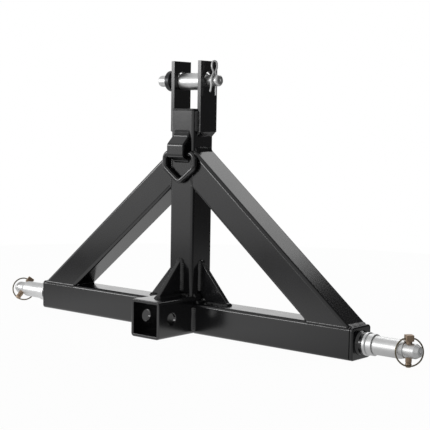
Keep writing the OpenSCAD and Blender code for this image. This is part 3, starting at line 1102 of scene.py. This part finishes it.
@dataclass(frozen=True)
class Plates:
    """The gussets, the clevis ears and the bent strap."""

    gusset_thick: float = 8.0
    gusset_tip: float = 4.0
    side_size: tuple[float, float, float] = (60.0, 67.0, 16.6)
    front_size: tuple[float, float, float] = (54.0, 58.5, 5.4)
    ear_thick: float = 7.9
    ear_front: float = -17.35
    ear_back: float = 23.95
    ear_bottom: float = 335.8
    ear_top: float = 453.2
    ear_hole: tuple[float, float, float] = (3.3, 423.3, 12.2)
    strap_width: float = 35.0
    strap_thick: float = 4.8
    strap_out: float = 18.0
    strap_levels: tuple[float, float, float, float] = (287.55, 294.05, 315.05, 332.55)

    def build(self) -> None:
        """Builds every plate."""
        self.gussets()
        for side in Side:
            self.ear(side)
        self.strap()

    def outline(self, run: float, rise: float, snip: float) -> Array:
        """A gusset's outline: blunt tips, a snipped inner corner."""
        tip = self.gusset_tip
        return np.array(
            [[snip, 0], [run, 0], [run, tip], [tip, rise], [0, rise], [0, snip]], float
        )

    def gussets(self) -> None:
        """One gusset each side of the mast, and one in front."""
        rim = Rim(1.1)
        for side in Side:
            shell = Shell()
            place = Place((STOCK.half, 0, STOCK.tube), (1, 0, 0), (0, 0, 1))
            plate(shell, self.outline(*self.side_size), self.gusset_thick, rim, place)
            shell.mirror(side)
            name = f"gusset_{side.word}"
            build_piece(f"{name}_plate", shell, POWDER_COAT, "frame", [name])
        shell = Shell()
        place = Place((0, -STOCK.half, STOCK.receiver), (0, -1, 0), (0, 0, 1))
        plate(shell, self.outline(*self.front_size), self.gusset_thick, rim, place)
        build_piece("front_gusset_plate", shell, POWDER_COAT, "frame", ["front_gusset"])

    def ear(self, side: Side) -> None:
        """A clevis ear: a plate whose rings run over its rim and through its hole.

        The outline's points lie where rays from the hole meet the plate's sides, and
        are clipped inwards for the rings of the rim.
        """
        y, z, hole = self.ear_hole
        low = np.array([self.ear_front - y, self.ear_bottom - z])
        high = np.array([self.ear_back - y, self.ear_top - z])
        corners = [(a, b) for a in (low[0], high[0]) for b in (low[1], high[1])]
        angle = np.concatenate(
            [np.linspace(-np.pi, np.pi, 96, endpoint=False)]
            + [[math.atan2(b, a)] for a, b in corners]
        )
        spoke = np.stack([np.cos(np.sort(angle)), np.sin(np.sort(angle))], 1)
        with np.errstate(divide="ignore"):
            reach = np.where(spoke > 0, high / spoke, low / spoke)
        rim_points = spoke * np.min(np.where(spoke == 0, np.inf, reach), axis=1)[:, None]
        insets, depths = Rim(0.9).insets()
        half = self.ear_thick / 2
        place = Place((STOCK.half + half, y, z), (0, 1, 0), (0, 0, 1))
        break_in, break_down = Rim(0.7).insets()
        over = [
            place.lift(np.clip(rim_points, low + i, high - i), half - d)
            for i, d in zip(insets[::-1], depths[::-1])
        ]
        hole_over = [
            place.lift(spoke * (hole + i), half - d) for i, d in zip(break_in, break_down)
        ]
        hole_under = [
            place.lift(spoke * (hole + i), d - half)
            for i, d in zip(break_in[::-1], break_down[::-1])
        ]
        under = [
            place.lift(np.clip(rim_points, low + i, high - i), d - half)
            for i, d in zip(insets, depths)
        ]
        shell = Shell()
        shell.grid(np.stack(over + hole_over + hole_under + under), wrap_u=True, wrap_v=True)
        shell.mirror(side)
        name = f"ear_{side.word}"
        build_piece(f"{name}_plate", shell, POWDER_COAT, "frame", [name])

    def strap(self) -> None:
        """The bent strap: a section with round edges that runs along two offset lines."""
        low, bend_low, bend_high, high = self.strap_levels
        out, thick = self.strap_out, self.strap_thick
        slope_low = math.atan2(bend_low - low, out)
        slope_high = math.atan2(high - bend_high, out)
        inside = out - thick
        under = low + thick / math.cos(slope_low)
        over = high - thick / math.cos(slope_high)
        outer = np.array([[0, low], [out, bend_low], [out, bend_high], [0, high]], float)
        inner = np.array(
            [
                [0, under],
                [inside, under + inside * math.tan(slope_low)],
                [inside, over - inside * math.tan(slope_high)],
                [0, over],
            ]
        )
        sharp, steps = 1.5, 60
        outer_line = evened(bent_path(outer, [thick + sharp] * 2, 0.5), 0.0, steps)
        inner_line = evened(bent_path(inner, [sharp] * 2, 0.5), 0.0, steps)
        section = round_rectangle(self.strap_width, thick, 1.1, 5)
        across = section[:, 0]
        depth = section[:, 1] / thick + 0.5
        line = (
            inner_line[:, None] * (1 - depth)[None, :, None]
            + outer_line[:, None] * depth[None, :, None]
        )
        rings = np.stack(
            [
                np.broadcast_to(across, line.shape[:2]),
                -STOCK.half - line[..., 0],
                line[..., 1],
            ],
            -1,
        )
        shell = Shell()
        shell.tube(rings)
        build_piece("strap_bracket", shell, POWDER_COAT, "frame", ["ring_bracket"])


@dataclass(frozen=True)
class LowerPins:
    """The lower link pins with their bosses, bushings, lynch pins and spring rings.

    The lynch pins are drawn upright at the origin, turned about their shanks, rolled
    about the lower pin and carried to its cross hole.
    """

    boss_end: float = 356.4
    shoulder: float = 371.4
    bush_start: float = 371.75
    bush_end: float = 422.35
    pin_end: float = 447.05
    pin_radius: float = 11.1
    lynch_x: float = 427.45
    lynch_radius: float = 4.75
    lynch_tip: float = -25.0
    head_low: float = 13.65
    head_height: float = 9.6
    head_width: float = 12.6
    hinge: float = 17.75
    ring_radius: float = 21.0
    ring_gap: float = 8.0
    ring_tilt: float = 8.97
    wire_radius: float = 1.2
    turns: Mapping[Side, float] = field(
        default_factory=lambda: {Side.LEFT: -34.0, Side.RIGHT: 42.0}
    )
    rolls: Mapping[Side, float] = field(
        default_factory=lambda: {Side.LEFT: -45.0, Side.RIGHT: 0.0}
    )

    def build(self) -> None:
        """Builds both ends."""
        for side in Side:
            self.boss(side)
            self.pin(side)
            self.bushing(side)
            self.lynch_pin(side)
            self.lynch_ring(side)

    def lathe(
        self,
        name: str,
        profile: Sequence[tuple[float, float]],
        finish: Finish,
        places: tuple[str, str, Side],
        holes: Sequence[Hole] = (),
    ) -> None:
        """Builds one turned piece on the lower pins' axis.

        Args:
            name: The piece's name.
            profile: Radius and distance from the middle of the hitch.
            finish: Its finish.
            places: Its body, the solid that it replaces and its side.
            holes: Holes to drill through it.
        """
        body, node, side = places
        shell = Shell()
        turned(shell, profile, (0, 0, STOCK.half), Axis.X)
        shell.mirror(side)
        build_piece(name, shell, finish, body, [node], holes=holes)

    def boss(self, side: Side) -> None:
        """The painted boss between end plate and flange."""
        bore, start = self.pin_radius + 0.1, STOCK.half_span
        profile = [(bore, start), (19.5, start), (17.5, start + 4)]
        profile += [(17.5, self.boss_end), (bore, self.boss_end), (bore, start)]
        node = f"pin_boss_{side.word}"
        self.lathe(
            f"{node}_collar", softened(profile, 1.0), POWDER_COAT, ("frame", node, side)
        )

    def pin(self, side: Side) -> None:
        """The lower pin: forged flange, groove, shoulder, shank and tapered tip."""
        bar, boss, end = self.pin_radius, self.boss_end, self.pin_end
        profile = [
            (0.0, STOCK.half_span - 15),
            (bar, STOCK.half_span - 15),
            (bar, boss),
            (17.8, boss),
            (17.8, boss + 4.4),
            (15.4, boss + 4.9),
            (15.4, boss + 5.7),
            (16.5, boss + 6.2),
            (16.5, self.shoulder),
            (bar, self.shoulder),
            (bar, end - 7),
            (7.4, end),
            (2.6, end),
            (1.4, end - 1.8),
            (0.0, end - 2.2),
        ]
        roll = math.radians(self.rolls[side])
        way = (0.0, -math.sin(roll), math.cos(roll))
        centre = (side.value * self.lynch_x, 0.0, STOCK.half)
        hole = Hole(centre, way, self.lynch_radius + 0.1, bar, 0.35)
        node = f"hitch_pin_{side.word}"
        self.lathe(
            f"{node}_forging", softened(profile, 0.5), ZINC_PLATE, ("frame", node, side), [hole]
        )

    def bushing(self, side: Side) -> None:
        """The bushing that steps the pin up one size, bevelled at its outer end."""
        bore, start, end = self.pin_radius + 0.1, self.bush_start, self.bush_end
        profile = [(bore, start), (14.3, start), (14.3, end - 7), (12.3, end)]
        profile += [(bore, end), (bore, start)]
        node = f"pin_bushing_{side.word}"
        self.lathe(f"{node}_sleeve", softened(profile, 0.8), ZINC_PLATE, (node, node, side))

    def stand(self, side: Side) -> Array:
        """The matrix that turns and rolls a lynch pin drawn upright."""
        return rotation((1, 0, 0), self.rolls[side]) @ rotation((0, 0, 1), -self.turns[side])

    def carry(self, shell: Shell, side: Side) -> None:
        """Turns, rolls and carries a shell from the origin to the pin's cross hole."""
        stand = self.stand(side)
        hole = np.array([self.lynch_x, 0.0, STOCK.half])
        shell.points = [points @ stand.T + hole for points in shell.points]
        shell.mirror(side)

    def lynch_pin(self, side: Side) -> None:
        """The lynch pin: a shank with a ringed tip, and a head with its corners off."""
        low, bar, head = self.lynch_tip, self.lynch_radius, self.head_low
        profile = [
            (0.0, low),
            (bar - 1.2, low),
            (bar, low + 2.4),
            (bar, low + 5.4),
            (bar - 0.55, low + 6.0),
            (bar - 0.55, low + 7.0),
            (bar, low + 7.6),
            (bar, head + 1),
            (0.0, head + 1),
        ]
        shell = Shell()
        turned(shell, softened(profile, 0.5), (0, 0, 0), Axis.Z, segments=48)
        outline = round_rectangle(self.head_width, self.head_width, 1.9, 3)
        middle = head + self.head_height / 2
        plate(shell, outline, self.head_height, Rim(1.3), STOCK.level(middle))
        self.carry(shell, side)
        node = f"lynch_pin_{side.word}"
        build_piece(f"{node}_forging", shell, YELLOW_ZINC, node, [node])

    def lynch_ring(self, side: Side) -> None:
        """The spring ring: a circle whose ends turn in to the hinge hole."""
        drop = math.sqrt(self.ring_radius**2 - self.ring_gap**2)
        first = math.atan2(drop, self.ring_gap)
        angle = np.linspace(first, -np.pi - first, 120)
        arc = self.ring_radius * np.stack([np.cos(angle), np.sin(angle)], 1)
        arc[:, 1] -= drop
        straight = np.array([[0.0, 0.0], [self.ring_gap - 2.2, 0.0]])
        trimmed = arc[(arc[:, 1] < -2.0) | (np.abs(arc[:, 0]) > self.ring_gap + 1.5)]
        loop = np.concatenate([straight, trimmed, straight[::-1] * [-1, 1]])
        flat = rounded_loop(loop)
        tilt = math.radians(self.ring_tilt)
        path = np.stack(
            [
                -flat[:, 1] * math.sin(tilt),
                flat[:, 0],
                flat[:, 1] * math.cos(tilt) + self.hinge,
            ],
            1,
        )
        normal = np.array([math.cos(tilt), 0.0, math.sin(tilt)])
        shell = Shell()
        swept_bar(shell, path, normal, self.wire_radius, closed=True, sides=14)
        self.carry(shell, side)
        node = f"lynch_ring_{side.word}"
        build_piece(f"{node}_wire", shell, SPRING_WIRE, node, [node])


@dataclass(frozen=True)
class TopLink:
    """The top link pin with its collar, its bushing and its hairpin clip."""

    axis_y: float = 3.3
    axis_z: float = 420.725
    pin_radius: float = 9.525
    bush_z: float = 419.475
    bush_bore: float = 10.875
    bush_radius: float = 14.3
    clip_x: float = 47.4
    clip_radius: float = 1.55
    clip_path: tuple[tuple[float, float], ...] = (
        (0, -24.5), (0, 10), (2.7, 13.6), (-2.4, 20.4), (-2.4, 32), (10.6, 32),
        (10.6, 20.4), (5.5, 13.6), (11.5, 5.6), (11.5, -9.6), (14.3, -19.2),
    )
    clip_bends: tuple[float, ...] = (3, 4, 6, 6, 6, 6, 4, 6, 7)
    pin_ends: tuple[float, float] = (-77.0, 57.0)
    collar_radius: float = 17.5
    collar_ends: tuple[float, float] = (-52.7, -43.2)
    bush_half: float = 25.05

    def build(self) -> None:
        """Builds the three pieces."""
        centre = (0.0, self.axis_y, self.axis_z)
        bar = self.pin_radius
        left, right = self.pin_ends
        profile = [
            (0.0, left),
            (bar - 5, left),
            (bar - 1, left + 2.5),
            (bar, left + 5),
            (bar, right - 2.5),
            (bar - 2.5, right),
            (2.4, right),
            (1.2, right - 1.4),
            (0.0, right - 1.8),
        ]
        shell = Shell()
        turned(shell, softened(profile, 1.1), centre, Axis.X)
        hole = Hole(
            (self.clip_x, self.axis_y, self.axis_z), (0, 0, 1), self.clip_radius + 0.1, bar, 0.3
        )
        build_piece(
            "top_pin_turning", shell, ZINC_PLATE, "top_link_pin", ["top_link_pin"], holes=[hole]
        )
        (left, right), rim = self.collar_ends, self.collar_radius
        profile = [(bar, left), (rim, left), (rim, right), (bar, right), (bar, left)]
        shell = Shell()
        turned(shell, softened(profile, 1.3), centre, Axis.X)
        # The collar takes the darker copy of the zinc finish: painted shade.
        build_piece("top_pin_collar", shell, ZINC_WITH_PAINTED_SHADE, "top_link_pin", [])
        bore, rim, half = self.bush_bore, self.bush_radius, self.bush_half
        profile = [(bore, -half), (rim, -half), (rim, half), (bore, half), (bore, -half)]
        shell = Shell()
        turned(shell, softened(profile, 1.0), (0.0, self.axis_y, self.bush_z), Axis.X)
        build_piece(
            "top_bushing_sleeve", shell, ZINC_PLATE, "top_link_bushing", ["top_link_bushing"]
        )
        self.clip()

    def clip(self) -> None:
        """The hairpin clip: one wire through the pin and back over it."""
        flat = evened(bent_path(np.array(self.clip_path, float), self.clip_bends, 0.4), 0.6)
        path = np.stack(
            [
                np.full(len(flat), self.clip_x),
                self.axis_y - flat[:, 0],
                self.axis_z + flat[:, 1],
            ],
            1,
        )
        shell = Shell()
        swept_bar(shell, path, np.array([1.0, 0.0, 0.0]), self.clip_radius, closed=False, sides=16)
        build_piece("hairpin_wire", shell, CLIP_WIRE, "hairpin_clip", ["hairpin_clip"])


@dataclass(frozen=True)
class LashingRing:
    """The ring on the mast: a bar through the strap, two sides and a V below."""

    place_y: float = -30.6
    place_z: float = 299.9
    half_width: float = 32.25
    shoulder: float = 23.4125
    point: float = 47.6
    bar_radius: float = 4.75
    bends: tuple[float, ...] = (9.5, 10, 10, 10, 9.5)

    def build(self) -> None:
        """Builds the ring."""
        wide = self.half_width
        corners = np.array(
            [
                [0, 0], [wide, 0], [wide, -self.shoulder], [0, -self.point],
                [-wide, -self.shoulder], [-wide, 0], [0, 0],
            ],
            float,
        )
        flat = evened(bent_path(corners, self.bends, 0.6), 1.0)[:-1]
        path = np.stack(
            [flat[:, 0], np.full(len(flat), self.place_y), self.place_z + flat[:, 1]], 1
        )
        shell = Shell()
        swept_bar(shell, path, np.array([0.0, 1.0, 0.0]), self.bar_radius, closed=True, sides=28)
        build_piece("lashing_ring_bar", shell, POWDER_COAT, "lashing_ring", ["lashing_ring"])


@dataclass(frozen=True)
class Welds:
    """Every weld bead of the frame, one piece for each group."""

    bead: Bead = Bead()
    frame_leg: float = 5.0
    gusset_leg: float = 4.5
    ear_leg: float = 7.6

    def build(self) -> None:
        """Lays all beads."""
        for node, lay in (
            ("receiver_welds", self.receiver),
            ("mast_foot_welds", self.mast_foot),
            ("brace_welds", self.braces),
            ("gusset_welds", self.gussets),
            ("ear_welds", self.ears),
            ("bracket_welds", self.bracket),
        ):
            shell = Shell()
            lay(shell)
            name = node.replace("welds", "beads")
            build_piece(name, shell, COATED_WELD, "frame", [node], crease=60.0)

    def both(self, shell: Shell, lay: Callable[[Shell, int], None]) -> None:
        """Lays the same beads on both sides, each with a wander of its own."""
        for side in Side:
            half = Shell()
            lay(half, 100 if side is Side.LEFT else 200)
            half.mirror(side)
            shell.join(half)

    def receiver(self, shell: Shell) -> None:
        """Beads between the receiver's sides and the crossbar."""
        edge, flat, leg = STOCK.receiver / 2, STOCK.flat, self.frame_leg
        low, high = STOCK.tube_corner - 1, STOCK.tube - STOCK.tube_corner + 1

        def lay(half: Shell, seed: int) -> None:
            """The three beads on one side of the receiver."""
            self.bead.fillet(
                half, STOCK.front(), [(edge, low), (edge, high)], (leg, leg), seed
            )
            top = STOCK.level(STOCK.tube)
            self.bead.fillet(half, top, [(edge, -flat), (edge, flat)], (leg, leg), seed + 1)
            self.bead.cap(half, STOCK.back(), [(-edge, low), (-edge, high)], (7.0, 0.8), seed + 2)

        self.both(shell, lay)

    def mast_foot(self, shell: Shell) -> None:
        """Beads round the foot of the mast."""
        flat, half_tube, leg, top = STOCK.flat, STOCK.half, self.frame_leg, STOCK.receiver
        front = [(-flat - 1, -half_tube), (flat + 1, -half_tube)]
        self.bead.fillet(shell, STOCK.level(top), front, (leg, leg), 11)
        self.bead.cap(shell, STOCK.back(), [(-flat, top), (flat, top)], (6.0, 0.8), 12)

        def lay(half: Shell, seed: int) -> None:
            """The bead at one side of the mast's foot."""
            ends = np.array([[half_tube, -flat, top], [half_tube, flat, top]])
            root = evened(ends, self.bead.step_mm)
            over = np.broadcast_to([leg, 0.0, -3.0], root.shape)
            up = np.broadcast_to([0.0, 0.0, leg], root.shape)
            self.bead.run(half, root, (over, up, over + up), seed)

        self.both(shell, lay)

    def braces(self, shell: Shell) -> None:
        """Beads at both ends of the braces, and over the seams of the flush faces."""
        flat, half_tube, leg = STOCK.flat, STOCK.half, self.frame_leg
        slope, low, inner = STOCK.slope, STOCK.brace_low, STOCK.brace_inner
        down = np.array([math.cos(slope), 0.0, -math.sin(slope)])
        right, up = np.array([1.0, 0.0, 0.0]), np.array([0.0, 0.0, 1.0])
        corners = (
            ((half_tube, STOCK.brace_head), down * leg, up * leg),
            ((half_tube, low), down * leg, -up * leg),
            ((inner, STOCK.tube), -right * leg, -down * leg),
            ((STOCK.brace_foot, STOCK.tube), right * (leg - 1.5), -down * leg),
        )
        seams = (
            [(inner + 2, STOCK.tube - 1.6), (STOCK.brace_foot - 1, STOCK.tube - 1.6)],
            [(half_tube - 2.4, low + 1), (half_tube - 2.4, STOCK.brace_head - 1)],
        )

        smooth = Bead(crown=0.6, ripple_depth=0.02, wander=0.02)

        def lay(half: Shell, seed: int) -> None:
            """Four corner beads and four seams of one brace."""
            for step, ((x, z), leg_a, leg_b) in enumerate(corners):
                root = evened(np.array([[x, -flat - 1, z], [x, flat + 1, z]]), self.bead.step_mm)
                over, rise = (np.broadcast_to(leg, root.shape) for leg in (leg_a, leg_b))
                self.bead.run(half, root, (over, rise, over + rise), seed + step)
            for step, seam in enumerate(seams):
                mirrored = [(-x, z) for x, z in seam]
                smooth.cap(half, STOCK.front(), seam, (5.6, 1.1), seed + 8 + step, 0.3)
                smooth.cap(half, STOCK.back(), mirrored, (5.6, 1.1), seed + 12 + step, 0.3)

        self.both(shell, lay)

    def gussets(self, shell: Shell) -> None:
        """Beads up both sides of each gusset and round its tips."""
        plates = Plates()
        half, leg = plates.gusset_thick / 2, self.gusset_leg
        run, rise, snip = plates.side_size
        legs = (leg, leg)

        def lay(side: Shell, seed: int) -> None:
            """The two beads round one side gusset."""
            low, high = STOCK.tube + snip, STOCK.tube + rise
            path = [(half, low), (half, high), (-half, high), (-half, low)]
            self.bead.fillet(side, STOCK.mast_side(), path, legs, seed)
            near, far = STOCK.half + snip, STOCK.half + run
            path = [(near, -half), (far, -half), (far, half), (near, half)]
            self.bead.fillet(side, STOCK.level(STOCK.tube), path, legs, seed + 1)

        self.both(shell, lay)
        run, rise, snip = plates.front_size
        low, high = STOCK.receiver + snip, STOCK.receiver + rise
        path = [(half, low), (half, high), (-half, high), (-half, low)]
        self.bead.fillet(shell, STOCK.front(), path, legs, 31)
        near, far = -STOCK.half - snip, -STOCK.half - run
        path = [(-half, near), (-half, far), (half, far), (half, near)]
        self.bead.fillet(shell, STOCK.level(STOCK.receiver), path, legs, 32)

    def ears(self, shell: Shell) -> None:
        """Beads under each ear and along its front and back edges."""
        plates = Plates()
        front, back, low = plates.ear_front, plates.ear_back, plates.ear_bottom
        top = STOCK.mast_top - STOCK.cap
        smooth = Bead(crown=0.5, ripple_depth=0.05)

        def lay(half: Shell, seed: int) -> None:
            """The bead under one ear and the two along its edges."""
            path = [(front, low), (back, low)]
            smooth.fillet(
                half, STOCK.mast_side(), path, (self.ear_leg, plates.ear_thick), seed
            )
            for y, leg_a, leg_b in (
                (front, [-0.6, -5.0, 0.0], [5.0, 0.0, 0.0]),
                (back, [-3.9, 1.3, 0.0], [2.6, 0.0, 0.0]),
            ):
                ends = np.array([[STOCK.half, y, low], [STOCK.half, y, top]])
                root = evened(ends, self.bead.step_mm)
                over, out = (np.broadcast_to(leg, root.shape) for leg in (leg_a, leg_b))
                self.bead.run(half, root, (over, out, over + out), seed + 1)

        self.both(shell, lay)

    def bracket(self, shell: Shell) -> None:
        """Two beads along the strap's upper end, and a small one under its lower end."""
        plates = Plates()
        wide = plates.strap_width / 2
        low, _, bend, high = plates.strap_levels
        slope = math.atan2(high - bend, plates.strap_out)
        lean = np.array([0.0, -math.cos(slope), -math.sin(slope)])
        up = np.array([0.0, 0.0, 1.0])
        wall = -STOCK.half
        smooth = Bead(crown=0.8, ripple_depth=0.02, wander=0.02)
        for z, leg_a, leg_b, seed in (
            (high + 1.5, up * 4.6, lean * 2.6 - up * 0.9, 41),
            (high, up * 2.2 + [0, -1.2, 0], lean * 6.4, 42),
            (low, -up * 3.0, np.array([0.0, -3.0, 0.9]), 43),
        ):
            root = evened(np.array([[-wide, wall, z], [wide, wall, z]]), self.bead.step_mm)
            over, out = (np.broadcast_to(leg, root.shape) for leg in (leg_a, leg_b))
            smooth.run(shell, root, (over, out, over + out), seed)


def main() -> None:
    """Builds the scene in order."""
    logging.basicConfig(level=logging.INFO, format="%(name)s: %(message)s")
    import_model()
    bpy.context.scene.view_settings.view_transform = "Standard"
    for part in (Tubes(), Plates(), LowerPins(), TopLink(), LashingRing(), Welds(), Studio()):
        part.build()


@dataclass
class Studio:
    """The camera, the pale floor, the white surround and the soft lights.

    Places, reaches and the sensor are in millimetres and angles in degrees. The flag is
    the darker part of the surround that reflections see, and the painted pool is a pool of
    light painted on the floor: the part of it that glows white to reflections.
    """

    camera_at: tuple[float, float, float] = (1267.3, -1437.6, 354.7)
    yaw: float = 40.184
    pitch: float = 4.728
    roll: float = 0.949
    focal_px: float = 1139.05
    frame_px: float = 430.0
    sensor: float = 36.0
    world_light: float = 0.3
    flag_way: tuple[float, float, float] = (0.8, 0.6, 0.0)
    flag_edge: tuple[float, float] = (0.0, 0.5)
    flag_dark: float = 0.1
    ceiling: float = 0.7
    # Painted pool of light on the floor: where it glows white to reflections, and how far it
    # fades.
    painted_pool_at: tuple[float, float] = (-120.0, -140.0)
    painted_pool_reach: tuple[float, float] = (200.0, 700.0)
    painted_pool_dim: float = 0.3
    floor_reach: float = 1350.0
    floor_tone: str = "#eeeeee"
    # Share of plain white that the floor shows to the camera and to reflections.
    floor_white: float = 0.97

    def build(self) -> None:
        """Builds everything round the object."""
        self.camera()
        self.surround()
        self.floor()
        self.lights()

    def camera(self) -> None:
        """Places the camera where the photograph was taken from."""
        data = bpy.data.cameras.new("camera")
        data.sensor_width = self.sensor
        data.lens = self.focal_px * self.sensor / self.frame_px
        data.clip_end = 50.0
        yaw, pitch, roll = (math.radians(a) for a in (self.yaw, self.pitch, self.roll))
        ahead = np.array([
            -math.sin(yaw) * math.cos(pitch),
            math.cos(yaw) * math.cos(pitch),
            -math.sin(pitch),
        ])
        right = np.array([math.cos(yaw), math.sin(yaw), 0.0])
        up = np.cross(right, ahead)
        tilted_right = math.cos(roll) * right + math.sin(roll) * up
        tilted_up = math.cos(roll) * up - math.sin(roll) * right
        pose = Matrix.Identity(4)
        for row in range(3):
            pose[row][0] = tilted_right[row]
            pose[row][1] = tilted_up[row]
            pose[row][2] = -ahead[row]
            pose[row][3] = self.camera_at[row] * MM
        camera = bpy.data.objects.new("camera", data)
        camera.matrix_world = pose
        bpy.context.scene.collection.objects.link(camera)
        bpy.context.scene.camera = camera

    def surround(self) -> None:
        """A world that is white to the camera and dim as a light.

        Reflections see it white too, but for a dark flag at the back on the right: the
        world darkens smoothly with the direction's dot product with the flag's middle.
        """
        world = bpy.data.worlds.new("white_surround")
        bpy.context.scene.world = world
        world.use_nodes = True
        tree = world.node_tree
        tree.nodes.clear()
        path = add_node(tree, "ShaderNodeLightPath").outputs
        seen = add_node(
            tree,
            "ShaderNodeMath",
            {0: path["Is Glossy Ray"], 1: path["Is Transmission Ray"]},
            operation="MAXIMUM",
        ).outputs[0]
        way = add_node(tree, "ShaderNodeTexCoord").outputs["Generated"]
        flag = add_node(
            tree,
            "ShaderNodeVectorMath",
            {0: way, 1: unit(self.flag_way).tolist()},
            operation="DOT_PRODUCT",
        ).outputs["Value"]
        mirrored = add_node(
            tree,
            "ShaderNodeMapRange",
            {
                "Value": flag,
                "From Min": self.flag_edge[0],
                "From Max": self.flag_edge[1],
                "To Min": 1.0,
                "To Max": self.flag_dark,
            },
            interpolation_type="SMOOTHSTEP",
        ).outputs["Result"]
        height = add_node(tree, "ShaderNodeSeparateXYZ", {0: way}).outputs["Z"]
        ceiling = add_node(
            tree,
            "ShaderNodeMapRange",
            {
                "Value": height,
                "From Min": 0.0,
                "From Max": 0.3,
                "To Min": 1.0,
                "To Max": self.ceiling,
            },
            interpolation_type="SMOOTHSTEP",
        ).outputs["Result"]
        mirrored = add_node(
            tree, "ShaderNodeMath", {0: mirrored, 1: ceiling}, operation="MULTIPLY"
        ).outputs[0]
        dim = add_node(
            tree,
            "ShaderNodeMix",
            {0: seen, 2: self.world_light, 3: mirrored},
        ).outputs[0]
        strength = add_node(
            tree,
            "ShaderNodeMix",
            {0: path["Is Camera Ray"], 2: dim, 3: 1.0},
        ).outputs[0]
        shade = add_node(
            tree,
            "ShaderNodeBackground",
            {"Color": linear_rgba("#ffffff"), "Strength": strength},
        )
        add_node(tree, "ShaderNodeOutputWorld", {"Surface": shade.outputs[0]})

    def floor(self) -> None:
        """A round pale floor that the camera sees as white, with a soft shadow.

        Reflections see a painted pool of light: the floor glows white to them round the
        object's front, and dimmer away from there.
        """
        angle = np.linspace(0, 2 * np.pi, 96, endpoint=False)
        rim = self.floor_reach * MM * np.stack([np.cos(angle), np.sin(angle), 0 * angle], 1)
        mesh = bpy.data.meshes.new("floor")
        mesh.from_pydata(rim.tolist(), [], [list(range(len(rim)))])
        material = bpy.data.materials.new("pale_studio_floor")
        material.use_nodes = True
        tree = material.node_tree
        tree.nodes.clear()
        path = add_node(tree, "ShaderNodeLightPath").outputs
        matt = add_node(
            tree, "ShaderNodeBsdfDiffuse", {"Color": linear_rgba(self.floor_tone)}
        ).outputs[0]
        place = add_node(tree, "ShaderNodeTexCoord").outputs["Object"]
        middle = [part * MM for part in self.painted_pool_at] + [0.0]
        away = add_node(
            tree, "ShaderNodeVectorMath", {0: place, 1: middle}, operation="DISTANCE"
        ).outputs["Value"]
        # Painted pool of light: the floor's glow to reflections fades with distance from its
        # middle.
        painted_pool = add_node(
            tree,
            "ShaderNodeMapRange",
            {
                "Value": away,
                "From Min": self.painted_pool_reach[0] * MM,
                "From Max": self.painted_pool_reach[1] * MM,
                "To Min": 1.0,
                "To Max": self.painted_pool_dim,
            },
        ).outputs["Result"]
        painted_pool_glow = add_node(
            tree, "ShaderNodeMix", {0: path["Is Camera Ray"], 2: painted_pool, 3: 1.0}
        ).outputs[0]
        white = add_node(
            tree, "ShaderNodeEmission", {"Color": linear_rgba("#ffffff"), "Strength": painted_pool_glow}
        ).outputs[0]
        seen = add_node(
            tree,
            "ShaderNodeMath",
            {0: path["Is Camera Ray"], 1: path["Is Glossy Ray"]},
            operation="MAXIMUM",
        ).outputs[0]
        seen = add_node(
            tree,
            "ShaderNodeMath",
            {0: seen, 1: path["Is Transmission Ray"]},
            operation="MAXIMUM",
        ).outputs[0]
        share = add_node(
            tree, "ShaderNodeMath", {0: seen, 1: self.floor_white}, operation="MULTIPLY"
        ).outputs[0]
        mixed = add_node(tree, "ShaderNodeMixShader", {0: share, 1: matt, 2: white})
        add_node(tree, "ShaderNodeOutputMaterial", {"Surface": mixed.outputs[0]})
        mesh.materials.append(material)
        floor = bpy.data.objects.new("floor", mesh)
        bpy.context.scene.collection.objects.link(floor)

    def lights(self) -> None:
        """Soft boxes: low on the left in front and behind, high behind, weak on the right."""
        self.soft_box("front_left", (-2550, -2750, 930), (0, 0, 250), (2600, 740), 46.0)
        self.soft_box("back_high", (-300, 1260, 1590), (0, 0, 150), (1320, 980), 7.2)
        self.soft_box("back_left", (-2000, 2500, 560), (0, 0, 60), (2200, 500), 1.7)
        self.soft_box("right_fill", (2800, -700, 1300), (0, 0, 200), (900, 900), 3.0)

    def soft_box(
        self,
        name: str,
        at: tuple[float, float, float],
        aim: tuple[float, float, float],
        size: tuple[float, float],
        watts: float,
    ) -> None:
        """Adds a rectangular soft light that faces a point.

        Args:
            name: The light's name.
            at: Its place in millimetres.
            aim: The point that it faces.
            size: Its width and height in millimetres.
            watts: Its power.
        """
        data = bpy.data.lights.new(name, "AREA")
        data.shape = "RECTANGLE"
        data.size, data.size_y = size[0] * MM, size[1] * MM
        data.energy = watts
        back = unit(np.array(at, float) - np.array(aim, float))
        side = unit(np.cross([0.0, 0.0, 1.0], back))
        up = np.cross(back, side)
        pose = Matrix.Identity(4)
        for row in range(3):
            pose[row][0], pose[row][1], pose[row][2] = side[row], up[row], back[row]
            pose[row][3] = at[row] * MM
        light = bpy.data.objects.new(name, data)
        light.matrix_world = pose
        bpy.context.scene.collection.objects.link(light)


if __name__ == "__main__":
    main()
